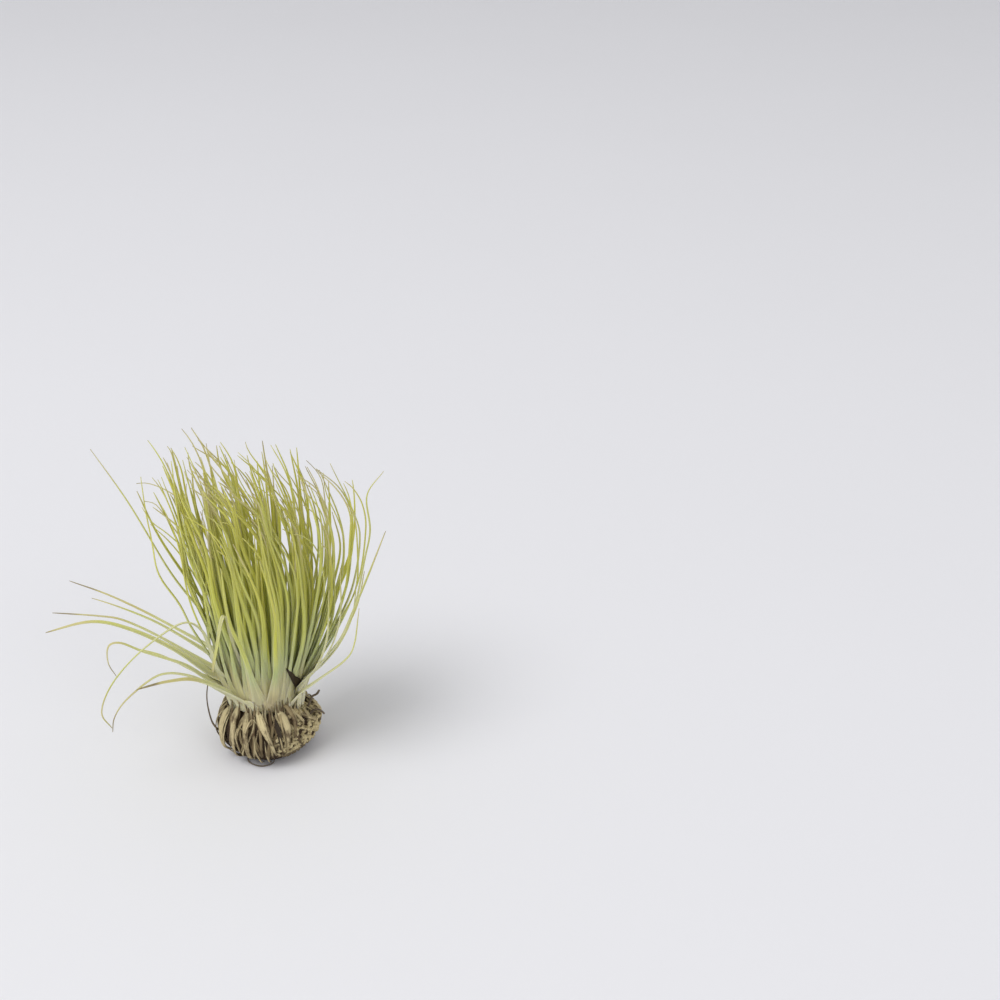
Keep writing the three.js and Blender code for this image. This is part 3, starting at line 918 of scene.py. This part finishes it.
def leaf_strip(points, azimuth, heading, draw, bend, wiggle=0.3, combed=0, curled=0, **more):
    """A leaf through points. Its width lies round the neck at its foot, across its heading above."""
    path = sway(smooth_path(points), draw, bend, wiggle)
    if combed:
        path = comb(path, combed)
    if curled:
        path = curl_tip(path, draw, curled)
    away = turn_between(azimuth, heading)
    across = []
    for i, point in enumerate(path):
        own = turn_between(azimuth, math.degrees(math.atan2(point.y, point.x)))
        own *= blend(math.hypot(point.x, point.y), 8, 14)
        raised = blend(i / (len(path) - 1), 0.08, 0.32)
        across.append(polar(azimuth + between(own, away, raised) + 90, 1))
    return {
        "path": path,
        "across": across,
        "girth": draw.uniform(*LEAF_GIRTHS),
        "twist": draw.uniform(*LEAF_TWISTS),
        "look": (draw.random(), draw.random(), 0.15 * draw.random()),
        **more,
    }


def shaped_strip(seat, heading, rise, draw, sag):
    """A leaf from its seat, heading and rise. A sag lowers it where it leaves the neck."""
    flare = blend(rise[1][0] / rise[1][1], 0.2, 0.35)
    if facing(heading, 0) > 0.5:
        points = sheath_start(seat, RIGHT_FLARE, heading, RIGHT_GATHER)[:2]
        points[0].z += RIGHT_LIFT
        points[1].z += RIGHT_LIFT * 0.6
    else:
        points = sheath_start(seat, flare)[:2]
    for number, (reach, height) in enumerate(rise):
        point = polar(*seat) + polar(heading, reach + (3 * flare if number == 0 else 0))
        out = math.hypot(point.x, point.y)
        lowered = sag * blend(out, 14, 22) * (1 - blend(out, 28, 48))
        points.append(point + Vector((0, 0, height - lowered)))
    return leaf_strip(points, seat[0], heading, draw, bend=0.8)


def fan_points(azimuth, radius, lean_seat, lean_tip, stretch):
    """A leaf that straightens from its seat to its tip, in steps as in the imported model."""
    points = sheath_start((azimuth, radius))
    reach, height = 0, CROWN_HEIGHT + GAP
    for station in range(FAN_STATIONS):
        lean = math.radians(between(lean_seat, lean_tip, (station + 0.5) / FAN_STATIONS))
        reach += math.sin(lean) * stretch / FAN_STATIONS
        height += math.cos(lean) * stretch / FAN_STATIONS
        combed = COMB_REACH * ((height - CROWN_HEIGHT) / COMB_HEIGHT) ** 2
        points.append(polar(azimuth, radius + reach, height) - Vector((combed, 0, 0)))
    return points


# The ball's mean radius at each level of its outline
BALL_PROFILE = smooth_path([Vector((radius, 0, level)) for radius, level in BALL_OUTLINE], 16)


def ball_radius(level):
    for low, high in zip(BALL_PROFILE, BALL_PROFILE[1:]):
        if level <= high.z:
            part = (level - low.z) / max(high.z - low.z, 1e-6)
            return between(low.x, high.x, max(part, 0))
    return BALL_PROFILE[-1].x


def ball_point(azimuth, level):
    """A point of the husky ball. Levels above its waist are pressed down to its shoulder."""
    middle = math.sin(math.pi * level / CROWN_HEIGHT)
    angle = math.radians(azimuth)
    wave = math.sin(3 * angle + 0.6) + 0.7 * math.sin(5 * angle + 2.1)
    height = level
    if level > WAIST:
        height = WAIST + (level - WAIST) * (shoulder(azimuth) - WAIST) / (CROWN_HEIGHT - WAIST)
    return polar(azimuth, ball_radius(level) * (1 + BALL_LOBES * middle * wave), height)


def off_ball(azimuth, level, lift):
    """A point this far off the husky ball."""
    above = ball_point(azimuth, min(level + 0.3, CROWN_HEIGHT))
    up = above - ball_point(azimuth, max(level - 0.3, 0))
    outward = polar(azimuth + 90, 1).cross(up).normalized()
    return ball_point(azimuth, level) + outward * lift


def husk_strip(top, bottom, high, low, lift, draw, wander, tucked=True, **more):
    """A husk down the ball from one azimuth and level to another, this far off its surface.

    A tucked one starts higher, between the sheaths.
    """
    points, azimuths = [], []
    if tucked:
        front = (shoulder(top) - SHOULDER_BACK) / (SHOULDER_FRONT - SHOULDER_BACK)
        rise, out = draw.uniform(2, 7) * (0.5 + 0.5 * front), draw.uniform(1.2, 2.8)
        for raised in (rise, rise * 0.35):
            points.append(polar(top, NECK_RADIUS + out, shoulder(top) + raised))
            azimuths.append(top)
    phase, pace = draw.uniform(0, 6.28), draw.uniform(4, 8)
    lift_phase = draw.uniform(0, 6.28)
    for station in range(HUSK_STATIONS):
        s = station / (HUSK_STATIONS - 1)
        level = between(high, low, 0.4 * s + 0.6 * (0.5 - 0.5 * math.cos(math.pi * s)))
        azimuth = between(top, bottom, s) + wander * math.sin(phase + s * pace)
        free = lift + 0.5 * math.sin(lift_phase + s * 7)
        points.append(off_ball(azimuth, level, between(free, -HUSK_PRESSED, blend(s, 0.8, 1))))
        azimuths.append(azimuth)
    path = smooth_path(points, HUSK_STEPS)
    across = []
    for i in range(len(path)):
        before = min(i // HUSK_STEPS, len(azimuths) - 2)
        azimuth = between(azimuths[before], azimuths[before + 1], i / HUSK_STEPS - before)
        across.append(polar(azimuth - 90, 1))
    return {
        "path": path,
        "across": across,
        "girth": 1,
        "twist": draw.uniform(-0.5, 0.5),
        "look": (draw.random(), draw.random(), draw.random()),
        **more,
    }


def level_strip(points, side, girth, twist, look):
    """A strip through points whose width lies level, and which arches to this side."""
    path = smooth_path(points, 6)
    across = [point.cross(Vector((0, 0, side))).normalized() for point in path]
    return {"path": path, "across": across, "girth": girth, "twist": twist, "look": look}


def new_material(name, in_view):
    """A material, its bench, and the place on the piece in Object coordinates."""
    material = bpy.data.materials.new(name)
    material.use_nodes = True
    material.diffuse_color = in_view
    bench = Bench(material.node_tree)
    return material, bench, bench.put("TexCoord", {}, {}, "Object")


def attribute(bench, name):
    return bench.split(bench.put("Attribute", {"attribute_name": name}, {}, "Vector"))


def finish_material(bench, colour_wire, roughness, bump=None, more=None):
    """Joins a colour, a roughness, a bump of (strength, distance, height) and more to the shader."""
    inputs = {"Base Color": colour_wire, "Roughness": roughness, **(more or {})}
    if bump:
        inputs["Normal"] = bench.put(
            "Bump", {}, dict(zip(("Strength", "Distance", "Height"), bump)), "Normal")
    for name, value in inputs.items():
        bench.join(bench.tree.nodes["Principled BSDF"].inputs[name], value)


@cache
def leaf_material():
    """Silvery foot, grey-green lower blade, yellow-green blade and straw to brown tip."""
    settings = bpy.context.scene.air_plant_leaf
    material, bench, place = new_material("leaf_skin", settings.mid_colour)
    along, edge, _ = attribute(bench, "blade")
    tone, dryness, own = attribute(bench, "look")
    x, y, z = bench.split(place)
    patch = bench.noise(place, 55.0)
    spot = along + (patch - 0.5) * 0.10
    yellowed = spot - bench.ease(x, 0.008, 0.03) * 0.05
    skin = bench.coat(settings.husk_colour, settings.sheath_colour, spot, 0.06, 0.15)
    skin = bench.coat(skin, settings.low_colour, spot, 0.15, 0.3)
    skin = bench.coat(skin, settings.mid_colour, yellowed, 0.25, 0.5)
    skin = bench.coat(skin, settings.high_colour, spot, 0.45, 0.85)
    skin = bench.tint(tone * 0.35, skin, settings.low_colour)

    # Silvery scales fade up the blade and line its edges, and that pale margin also paints the bright
    # highlight that light draws along each blade's edges
    fading = 1 - bench.ease(along - own * 0.3, 0.1, 0.7)
    silver = (bench.ease(patch + tone * 0.3, 0.3, 0.8) + own) * fading * 0.6
    scales = bench.noise(place, 3600.0)
    skin = bench.coat(skin, settings.silver_colour, scales, 0.2, 0.75, silver)
    silver_margin_and_highlight = bench.ease(edge.maths("ABSOLUTE"), 0.72, 1.0) * (1 - bench.ease(along, 0.7, 0.95))
    skin = bench.tint(silver_margin_and_highlight * 0.5, skin, settings.silver_colour)

    # Stripes run along the blade, and the leaves of the heart are painted lighter low down: painted
    # light that lifts the shade falling between the blades there
    coarse = bench.noise(bench.vector(edge * 1.3, along * 1.6, tone * 47.0), 2.2, 1)
    stripes = bench.noise(bench.vector(edge * 6.0, along * 2.5, tone * 47.0), 2.2, 3)
    heart = 1 - bench.ease((x * x + y * y) ** 0.5, 0.012, 0.023)
    heart = heart * (1 - bench.ease(z, 0.085, 0.13))
    value = 0.48 + stripes * 0.5 + coarse * 0.56 + heart * 0.5
    skin = bench.put("HueSaturation", {}, {"Value": value, "Color": skin})

    # Tips dry to straw, and the driest leaves' ends are dead
    dry_from = 0.95 - dryness ** 2 * 0.24
    dried = bench.ease(along + (stripes - 0.5) * 0.06, dry_from, dry_from + 0.14)
    skin = bench.tint(dried, skin, settings.dry_colour)
    dead_from = 0.955 - (dryness - 0.9).clamped() * 0.28
    dead = bench.ease(along, dead_from, dead_from + 0.06) * bench.ease(dryness, 0.3, 1.2)
    skin = bench.tint(dead, skin, settings.dead_colour)
    relief = coarse + stripes * 0.5 + scales * 0.25 * (silver + 0.2)
    finish_material(bench, skin, 0.48 + silver * 0.4, (0.35, 0.0003, relief), {
        "Subsurface Weight": 0.45, "Subsurface Radius": (0.002, 0.002, 0.0008),
        "Subsurface Scale": 1.0, "Sheen Weight": 0.15,
    })
    return material


@cache
def husk_material():
    """Dry fibrous husk: bleached straw with brown grain and stains, near-black painted shade on the
    darkest tones.
    """
    settings = bpy.context.scene.air_plant_husk
    material, bench, place = new_material("dry_husk", settings.straw_colour)
    along, edge, _ = attribute(bench, "blade")
    tone, _, own = attribute(bench, "look")
    grain = bench.noise(bench.vector(edge * 7.0, along * 3.0, own * 50.0), 2.0, 4)
    stain = bench.noise(place, 160.0, 3)
    worn = (tone * 0.9 + (grain - 0.5) * 1.2).clamped()
    skin = bench.tint(worn, settings.pale_colour, settings.straw_colour)
    skin = bench.coat(skin, settings.brown_colour, stain + (grain - 0.5) * 0.7, 0.46, 0.72)
    fresh = (1 - bench.ease(along, 0.05, 0.3)) * (1 - bench.ease(tone, 0.5, 0.9)) * 0.7
    skin = bench.tint(fresh, skin, settings.top_colour)
    skin = bench.coat(skin, settings.brown_colour, along, 0.7, 1.05, 0.7)
    skin = bench.coat(skin, settings.brown_colour, edge.maths("ABSOLUTE"), 0.55, 1.0, 0.6)
    skin = bench.coat(skin, settings.brown_colour, tone, 0.55, 1.0, 0.65)
    # Tones above 0.9 turn near-black: painted shade on the deep husks, on the dark husk under the
    # ribs and on the dead sheath over its gap
    skin = bench.coat(skin, settings.dark_and_shade_colour, tone, 0.9, 1.2, 0.85)
    finish_material(bench, skin, 0.7 + grain * 0.25, (0.6, 0.0004, grain + stain * 0.4))
    return material


@cache
def ball_material():
    """Packed dead tissue: tan on the high spongy ground, darker in the gaps and below from dark
    tissue and painted shade.
    """
    settings = bpy.context.scene.air_plant_husk
    material, bench, place = new_material("packed_mass", settings.brown_colour)
    depth, spongy, _ = attribute(bench, "look")
    mottle = bench.noise(place, 260.0, 4)
    fine = bench.noise(place, 1400.0, 3)
    dull = 1 - spongy * 0.6
    high = bench.coat(settings.straw_colour, settings.brown_colour, mottle, 0.3, 0.75, dull)
    high = bench.coat(high, settings.pale_colour, fine, 0.25, 0.5, spongy)
    # Furrows and pits darken with their depth: partly the dark inner tissue, partly painted shade in
    # the recesses
    low = bench.tint(fine, settings.dark_and_shade_colour, settings.brown_colour)
    damp_and_shadow_colour = bench.tint(fine * 0.6 + 0.4, settings.dark_and_shade_colour, settings.brown_colour)
    skin = bench.coat(high, low, depth + (mottle - 0.5) * 0.3, 0.15, 0.6)
    # A band at the foot darkens: partly damp tissue, partly painted shadow under the overhanging ball
    damp_and_shadow_below = 1 - bench.ease(bench.split(place)[2] + (mottle - 0.5) * 0.004, 0.006, 0.009)
    skin = bench.tint(damp_and_shadow_below * 0.8, skin, damp_and_shadow_colour)
    finish_material(bench, skin, 0.85 + fine * 0.1, (0.7, 0.0005, fine + mottle))
    return material


def dimmed(shade, amount):
    return [value * amount for value in shade[:3]] + [1]


@cache
def root_material():
    """A dead root with a fine dark grain."""
    pale = bpy.context.scene.air_plant_root.root_colour
    material, bench, place = new_material("dead_root", pale)
    grain = bench.noise(place, 900.0, 3)
    skin = bench.coat(dimmed(pale, 0.6), pale, grain, 0.35, 0.7)
    finish_material(bench, skin, 0.6 + grain * 0.3, (0.5, 0.0003, grain))
    return material


def make_leaves(name, strips, *nodes, **sizes):
    """One piece that holds these leaf strips."""
    settings = bpy.context.scene.air_plant_leaf
    sizes = {"rings": 44, "sides": 12, "material": leaf_material(), **sizes}
    make_piece(name, line_mesh(name, strips), strip_tree(), settings, "leaf", *nodes, **sizes)


def make_husks(name, strips, top_width, bottom_width, *nodes, **sizes):
    """One piece that holds these husk strips. Widths are multiplied by each strip's girth."""
    settings = bpy.context.scene.air_plant_husk
    sizes = {
        "rings": 40, "sides": 10, "foot_width": top_width * 0.25 * MM, "foot_length": 0.008,
        "blade_width": top_width * MM, "tip_width": bottom_width * MM, "taper": 1.0,
        "foot_thickness": settings.thickness, "tip_thickness": settings.thickness * 0.7,
        "foot_curl": settings.curl, "blade_curl": settings.curl, "tip_curl": settings.curl * 1.3,
        "material": husk_material(), **sizes,
    }
    make_piece(name, line_mesh(name, strips), strip_tree(), settings, "dry_husk", *nodes, **sizes)


class AIRPLANT_OT_root_ball(bpy.types.Operator):
    """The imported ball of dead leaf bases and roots"""
    bl_idname = "airplant.root_ball"
    bl_label = "Root ball"

    def execute(self, context):
        settings = context.scene.air_plant_ball
        up = settings.parallels
        azimuths = [360 * k / settings.meridians for k in range(settings.meridians)]
        foot = [ball_point(azimuth, 0) for azimuth in azimuths]
        rings = [[point * (k / CAP_RINGS) for point in foot] for k in range(1, CAP_RINGS + 1)]
        for step in range(1, up + 1):
            level = CROWN_HEIGHT * (0.5 - 0.5 * math.cos(math.pi * step / up))
            rings.append([ball_point(azimuth, level) for azimuth in azimuths])
        rim = rings[-1]
        middle = Vector((0, 0, SHOULDER_BACK + 2))
        rings += [[point.lerp(middle, k / CAP_RINGS) for point in rim] for k in range(1, CAP_RINGS)]
        rings = [[point * MM for point in ring] for ring in rings]
        mesh = ring_mesh("root_ball_mass", rings, Vector((0, 0, 0)), middle * MM)
        make_piece(
            "root_ball_mass", mesh, ball_tree(), settings, "root_mass", "root_ball",
            material=ball_material())
        return {"FINISHED"}


class AIRPLANT_OT_husk_ribs(bpy.types.Operator):
    """The large dry leaf bases that wrap the ball"""
    bl_idname = "airplant.husk_ribs"
    bl_label = "Husk ribs"

    def execute(self, context):
        draw = random.Random(21)
        for number, (top, bottom, top_width, bottom_width, low, foot) in enumerate(RIBS, 1):
            name = f"husk_rib_{number}"
            strip = husk_strip(top, bottom, RIB_TOP_HEIGHT, low, RIB_LIFT, draw, RIB_WANDER)
            strip["look"] = (0.35 * draw.random(), draw.random(), draw.random())
            make_husks(
                name + "_skin", [strip], top_width, bottom_width, name,
                foot_width=top_width * foot * MM)
        return {"FINISHED"}


class AIRPLANT_OT_husk_strips(bpy.types.Operator):
    """Narrow husk remnants and fibres between the ribs"""
    bl_idname = "airplant.husk_strips"
    bl_label = "Husk strips"

    def execute(self, context):
        draw = random.Random(22)
        for name, start, stop, count, lift, drift, wander, ends, widths, tones in HUSK_LAYERS:
            strips = []
            for step in range(count):
                top = start + (stop - start) * (step + draw.uniform(0.1, 0.9)) / count
                strips.append(husk_strip(
                    top, top + draw.uniform(-drift, drift), draw.uniform(*HUSK_TOPS),
                    draw.uniform(*ends), lift + draw.uniform(-0.4, 0.4), draw,
                    draw.uniform(0.2, 1) * wander, draw.random() < 0.7, girth=draw.uniform(*widths),
                    look=(draw.uniform(*tones), draw.random(), draw.random())))
            make_husks(name, strips, 1, 0.6, rings=30, sides=8)
        strips = []
        for width, tone, places in SINGLE_HUSKS:
            points = [off_ball(*place) for place in places]
            twist = draw.uniform(-0.5, 0.5)
            look = (tone, draw.random(), draw.random())
            strips.append(level_strip(points, side=-1, girth=width, twist=twist, look=look))
        make_husks("husks_single", strips, 1, 0.4)
        return {"FINISHED"}


class AIRPLANT_OT_dead_sheath(bpy.types.Operator):
    """A dead sheath that gapes between the live ones at the right of the front"""
    bl_idname = "airplant.dead_sheath"
    bl_label = "Dead sheath"

    def execute(self, context):
        points = [polar(*place) for place in DEAD_SHEATH]
        # A tone above 1 paints this dead sheath near-black: painted shade of the gap between the live
        # sheaths
        strip = level_strip(points, side=1, girth=1, twist=0.3, look=(1.15, 0.5, 0.5))
        curls = dict.fromkeys(("foot_curl", "blade_curl", "tip_curl"), DEAD_SHEATH_CURL)
        make_husks(
            "dead_sheath", [strip], DEAD_SHEATH_WIDTH, 0.4, taper=0.85,
            foot_width=DEAD_SHEATH_WIDTH * MM, **curls)
        return {"FINISHED"}


class AIRPLANT_OT_crumbs(bpy.types.Operator):
    """Crumbs of dead tissue on the ball's spongy side"""
    bl_idname = "airplant.crumbs"
    bl_label = "Crumbs"

    def execute(self, context):
        ball = bpy.data.objects["root_ball_mass"].data
        look = [item.vector for item in ball.attributes["look"].data]
        open_ground = [depth < CRUMB_DEPTH and spongy > CRUMB_SPONGY for depth, spongy, _ in look]
        faces = [
            face.vertices[:] for face in ball.polygons
            if face.center.z >= CRUMB_FLOOR and all(open_ground[i] for i in face.vertices)]
        used = sorted({i for face in faces for i in face})
        number = {old: new for new, old in enumerate(used)}
        points = [ball.vertices[i].co for i in used]
        mesh = bpy.data.meshes.new("crumbs")
        mesh.from_pydata(points, [], [[number[i] for i in face] for face in faces])
        make_piece(
            "crumbs", mesh, crumb_tree(), context.scene.air_plant_ball, "root_mass",
            material=ball_material())
        return {"FINISHED"}


class AIRPLANT_OT_roots(bpy.types.Operator):
    """The dead roots: one arching at the side, one looped on the floor and two stubs"""
    bl_idname = "airplant.roots"
    bl_label = "Roots"

    def execute(self, context):
        settings = context.scene.air_plant_root
        kinds = ((THIN_ROOTS, settings.thin_radius), (STUB_ROOTS, settings.stub_radius))
        for roots, radius in kinds:
            for name, thickness, tip, places in roots:
                path = [point * MM for point in smooth_path([Vector(place) for place in places])]
                mesh = bpy.data.meshes.new(name)
                mesh.from_pydata(path, [(i, i + 1) for i in range(len(path) - 1)], [])
                make_piece(
                    name + "_skin", mesh, root_tree(), settings, "dead_root", name,
                    radius=radius * thickness, tip_share=tip, material=root_material())
        return {"FINISHED"}


class AIRPLANT_OT_outer_leaves(bpy.types.Operator):
    """Leaves that stand apart: long ones at both sides, and one in front whose top folded over"""
    bl_idname = "airplant.outer_leaves"
    bl_label = "Outer leaves"

    def execute(self, context):
        for leaves, seed, rings, tone, dryness, silver, sag, sizes in SHAPED_GROUPS:
            draw = random.Random(seed)
            for name, seat, heading, rise in leaves:
                strip = shaped_strip(seat, heading, rise, draw, sag)
                pale, dry, _ = strip["look"]
                strip["girth"] *= STOUT_LEAVES.get(name, 1)
                strip["look"] = (tone + 0.5 * pale, dryness * (0.5 + 0.5 * dry), silver)
                make_leaves(name + "_skin", [strip], name, rings=rings, **sizes)
        return {"FINISHED"}


class AIRPLANT_OT_fan_leaves(bpy.types.Operator):
    """The upright fan in the middle, ring by ring"""
    bl_idname = "airplant.fan_leaves"
    bl_label = "Fan leaves"

    def execute(self, context):
        draw = random.Random(15)
        index = 0
        for radius, (lean_seat, lean_tip, reach), azimuths in FAN_RINGS:
            for azimuth in azimuths:
                index += 1
                lean = lean_seat + LEAN_SPREAD * (vary(index, 1) - 0.5)
                stretch = reach * (1 + LENGTH_SPREAD * (vary(index, 2) - 0.5))
                points = fan_points(azimuth, radius, lean, lean_tip, stretch)
                strip = leaf_strip(points, azimuth, azimuth, draw, bend=2, wiggle=0.4, combed=6)
                tone, dryness, silver = strip["look"]
                strip["look"] = (tone, dryness * (0.3 if 225 < azimuth < 315 else 1), silver)
                name = f"leaf_crown_{index}"
                make_leaves(name + "_skin", [strip], name)
        return {"FINISHED"}


class AIRPLANT_OT_spiral_leaves(bpy.types.Operator):
    """The other leaves of the tuft, in a spiral from the heart to the rim"""
    bl_idname = "airplant.spiral_leaves"
    bl_label = "Spiral leaves"

    def execute(self, context):
        draw = random.Random(16)
        groups = [[] for _ in range(SPIRAL_GROUPS)]
        for number in range(SPIRAL_LEAVES):
            azimuth = (number * GOLDEN_ANGLE + draw.uniform(*SPIRAL_TURNS)) % 360
            spread = math.sqrt((number + 0.5) / SPIRAL_LEAVES)
            radius = between(SPIRAL_INNER, SPIRAL_OUTER, spread)
            t = (radius - SEAT_INNER) / (SEAT_OUTER - SEAT_INNER)
            left, right, front = (blend(facing(azimuth, way), 0, 0.9) for way in (180, 0, 270))
            if draw.random() < LEFT_EMPTY * left * t:
                continue
            lean_seat = between(FAN_INNER[0], FAN_OUTER[0], t) + draw.uniform(*SPIRAL_SEAT_LEANS)
            lean_seat *= (1 - LEFT_HOLD * left) * (1 - FRONT_HOLD * front)
            lean_tip = FAN_OUTER[1] * t + draw.uniform(*SPIRAL_TIP_LEANS) - LEFT_RISE * left
            stretch = between(FAN_INNER[2], FAN_OUTER[2], t * t)
            stretch *= draw.uniform(*SPIRAL_LENGTHS) * (1 + 0.1 * t * t * (left + front))
            points = fan_points(azimuth, radius, lean_seat, lean_tip, stretch)
            curled = draw.uniform(*SPIRAL_CURLS) if draw.random() < 0.5 else 0
            bend = draw.uniform(*SPIRAL_BENDS)
            combed = draw.uniform(*SPIRAL_COMBINGS) * (1 + COMBED_LEFT * left + COMBED_RIGHT * right)
            girth = draw.uniform(*SPIRAL_GIRTHS)
            strip = leaf_strip(
                points, azimuth, azimuth, draw, bend, 0.5, combed, curled, girth=girth)
            groups[number * SPIRAL_GROUPS // SPIRAL_LEAVES].append(strip)
        for number, strips in enumerate(groups, 1):
            make_leaves(f"spiral_leaves_{number}", strips)
        return {"FINISHED"}


class AIRPLANT_OT_free_leaves(bpy.types.Operator):
    """Leaves whose outlines show on their own at both sides of the tuft"""
    bl_idname = "airplant.free_leaves"
    bl_label = "Free leaves"

    def execute(self, context):
        draw = random.Random(17)
        strips = []
        for heading, seat_radius, rise in FREE_LEAVES:
            points = sheath_start((heading, seat_radius))
            points += [polar(heading, out, height) for out, height in rise]
            girth, twist = draw.uniform(0.8, 1.05), draw.uniform(-0.5, 0.5)
            strips.append(leaf_strip(
                points, heading, heading, draw, bend=0.6, girth=girth, twist=twist))
        make_leaves("free_leaves", strips, rings=60)
        strips = []
        for foot, heading, rise in SILVERY_LEAVES:
            points = sheath_start((foot, SEAT_OUTER), SILVERY_FLARE, foot)[:2]
            points += [polar(heading, out, height) for out, height in rise]
            strips.append(leaf_strip(
                points, foot, heading, draw, bend=0.6, girth=1, twist=0.2, look=SILVERY_LOOK))
        make_leaves("silvery_leaves", strips, rings=60)
        return {"FINISHED"}


def soft_light(name, place, size, power):
    data = bpy.data.lights.new(name, "AREA")
    data.shape = "DISK"
    data.size = size
    data.energy = power
    light = add_object(name, data)
    light.location = place
    light.rotation_euler = (LIGHT_AIM - Vector(place)).to_track_quat("-Z", "Y").to_euler()


class AIRPLANT_OT_stage(bpy.types.Operator):
    """Pale floor, soft light and the camera at the photograph's angle"""
    bl_idname = "airplant.stage"
    bl_label = "Stage"

    def execute(self, context):
        scene = context.scene
        settings = scene.air_plant_stage
        rings = []
        for step in range(SWEEP_STEPS + 1):
            tilt = math.pi / 2 * step / SWEEP_STEPS
            radius = settings.floor_radius + settings.sweep_radius * math.sin(tilt)
            height = settings.sweep_radius * (1 - math.cos(tilt))
            rings.append([polar(-360 * k / FLOOR_SIDES, radius, height) for k in range(FLOOR_SIDES)])
        mesh = ring_mesh("floor", rings, Vector((0, 0, 0)))
        mesh.shade_smooth()
        floor = add_object("floor", mesh)
        pale = settings.floor_colour
        material, bench, place = new_material("pale_floor", pale)
        clouded = bench.tint(bench.noise(place, 3.0, 1), pale, dimmed(pale, 0.985))
        finish_material(bench, clouded, 0.9)
        mesh.materials.append(material)
        soft_light("key_light", *KEY_LIGHT, settings.key_power)
        soft_light("fill_light", *FILL_LIGHT, settings.fill_power)
        scene.world = bpy.data.worlds.new("studio")
        scene.world.use_nodes = True
        sky = scene.world.node_tree.nodes["Background"].inputs
        sky["Color"].default_value = (1, 1, 1, 1)
        sky["Strength"].default_value = settings.world_strength
        scene.view_settings.view_transform = "Standard"
        data = bpy.data.cameras.new("camera")
        data.lens = CAMERA_LENS
        data.sensor_width = SENSOR
        camera = add_object("camera", data)
        camera.location = CAMERA_PLACE
        camera.rotation_euler = (math.radians(90 - CAMERA_PITCH), 0, 0)
        scene.camera = camera
        return {"FINISHED"}


OPERATORS = (
    AIRPLANT_OT_stage,
    AIRPLANT_OT_root_ball,
    AIRPLANT_OT_husk_ribs,
    AIRPLANT_OT_husk_strips,
    AIRPLANT_OT_dead_sheath,
    AIRPLANT_OT_crumbs,
    AIRPLANT_OT_roots,
    AIRPLANT_OT_outer_leaves,
    AIRPLANT_OT_fan_leaves,
    AIRPLANT_OT_spiral_leaves,
    AIRPLANT_OT_free_leaves,
)


class AIRPLANT_PT_panel(bpy.types.Panel):
    """Lists the steps that build the plant"""
    bl_idname = "AIRPLANT_PT_panel"
    bl_label = "Air plant"
    bl_space_type = "VIEW_3D"
    bl_region_type = "UI"
    bl_category = "Air plant"

    def draw(self, context):
        for operator in OPERATORS:
            self.layout.operator(operator.bl_idname)


def register():
    for name, group in SETTINGS.items():
        bpy.utils.register_class(group)
        setattr(bpy.types.Scene, name, PointerProperty(type=group))
    for kind in (*OPERATORS, AIRPLANT_PT_panel):
        bpy.utils.register_class(kind)


def unregister():
    for kind in (AIRPLANT_PT_panel, *reversed(OPERATORS)):
        bpy.utils.unregister_class(kind)
    for name, group in SETTINGS.items():
        delattr(bpy.types.Scene, name)
        bpy.utils.unregister_class(group)


def main():
    register()
    for operator in OPERATORS:
        group, name = operator.bl_idname.split(".")
        if getattr(getattr(bpy.ops, group), name)() != {"FINISHED"}:
            raise RuntimeError(operator.bl_label + " didn't finish")


if __name__ == "__main__":
    main()
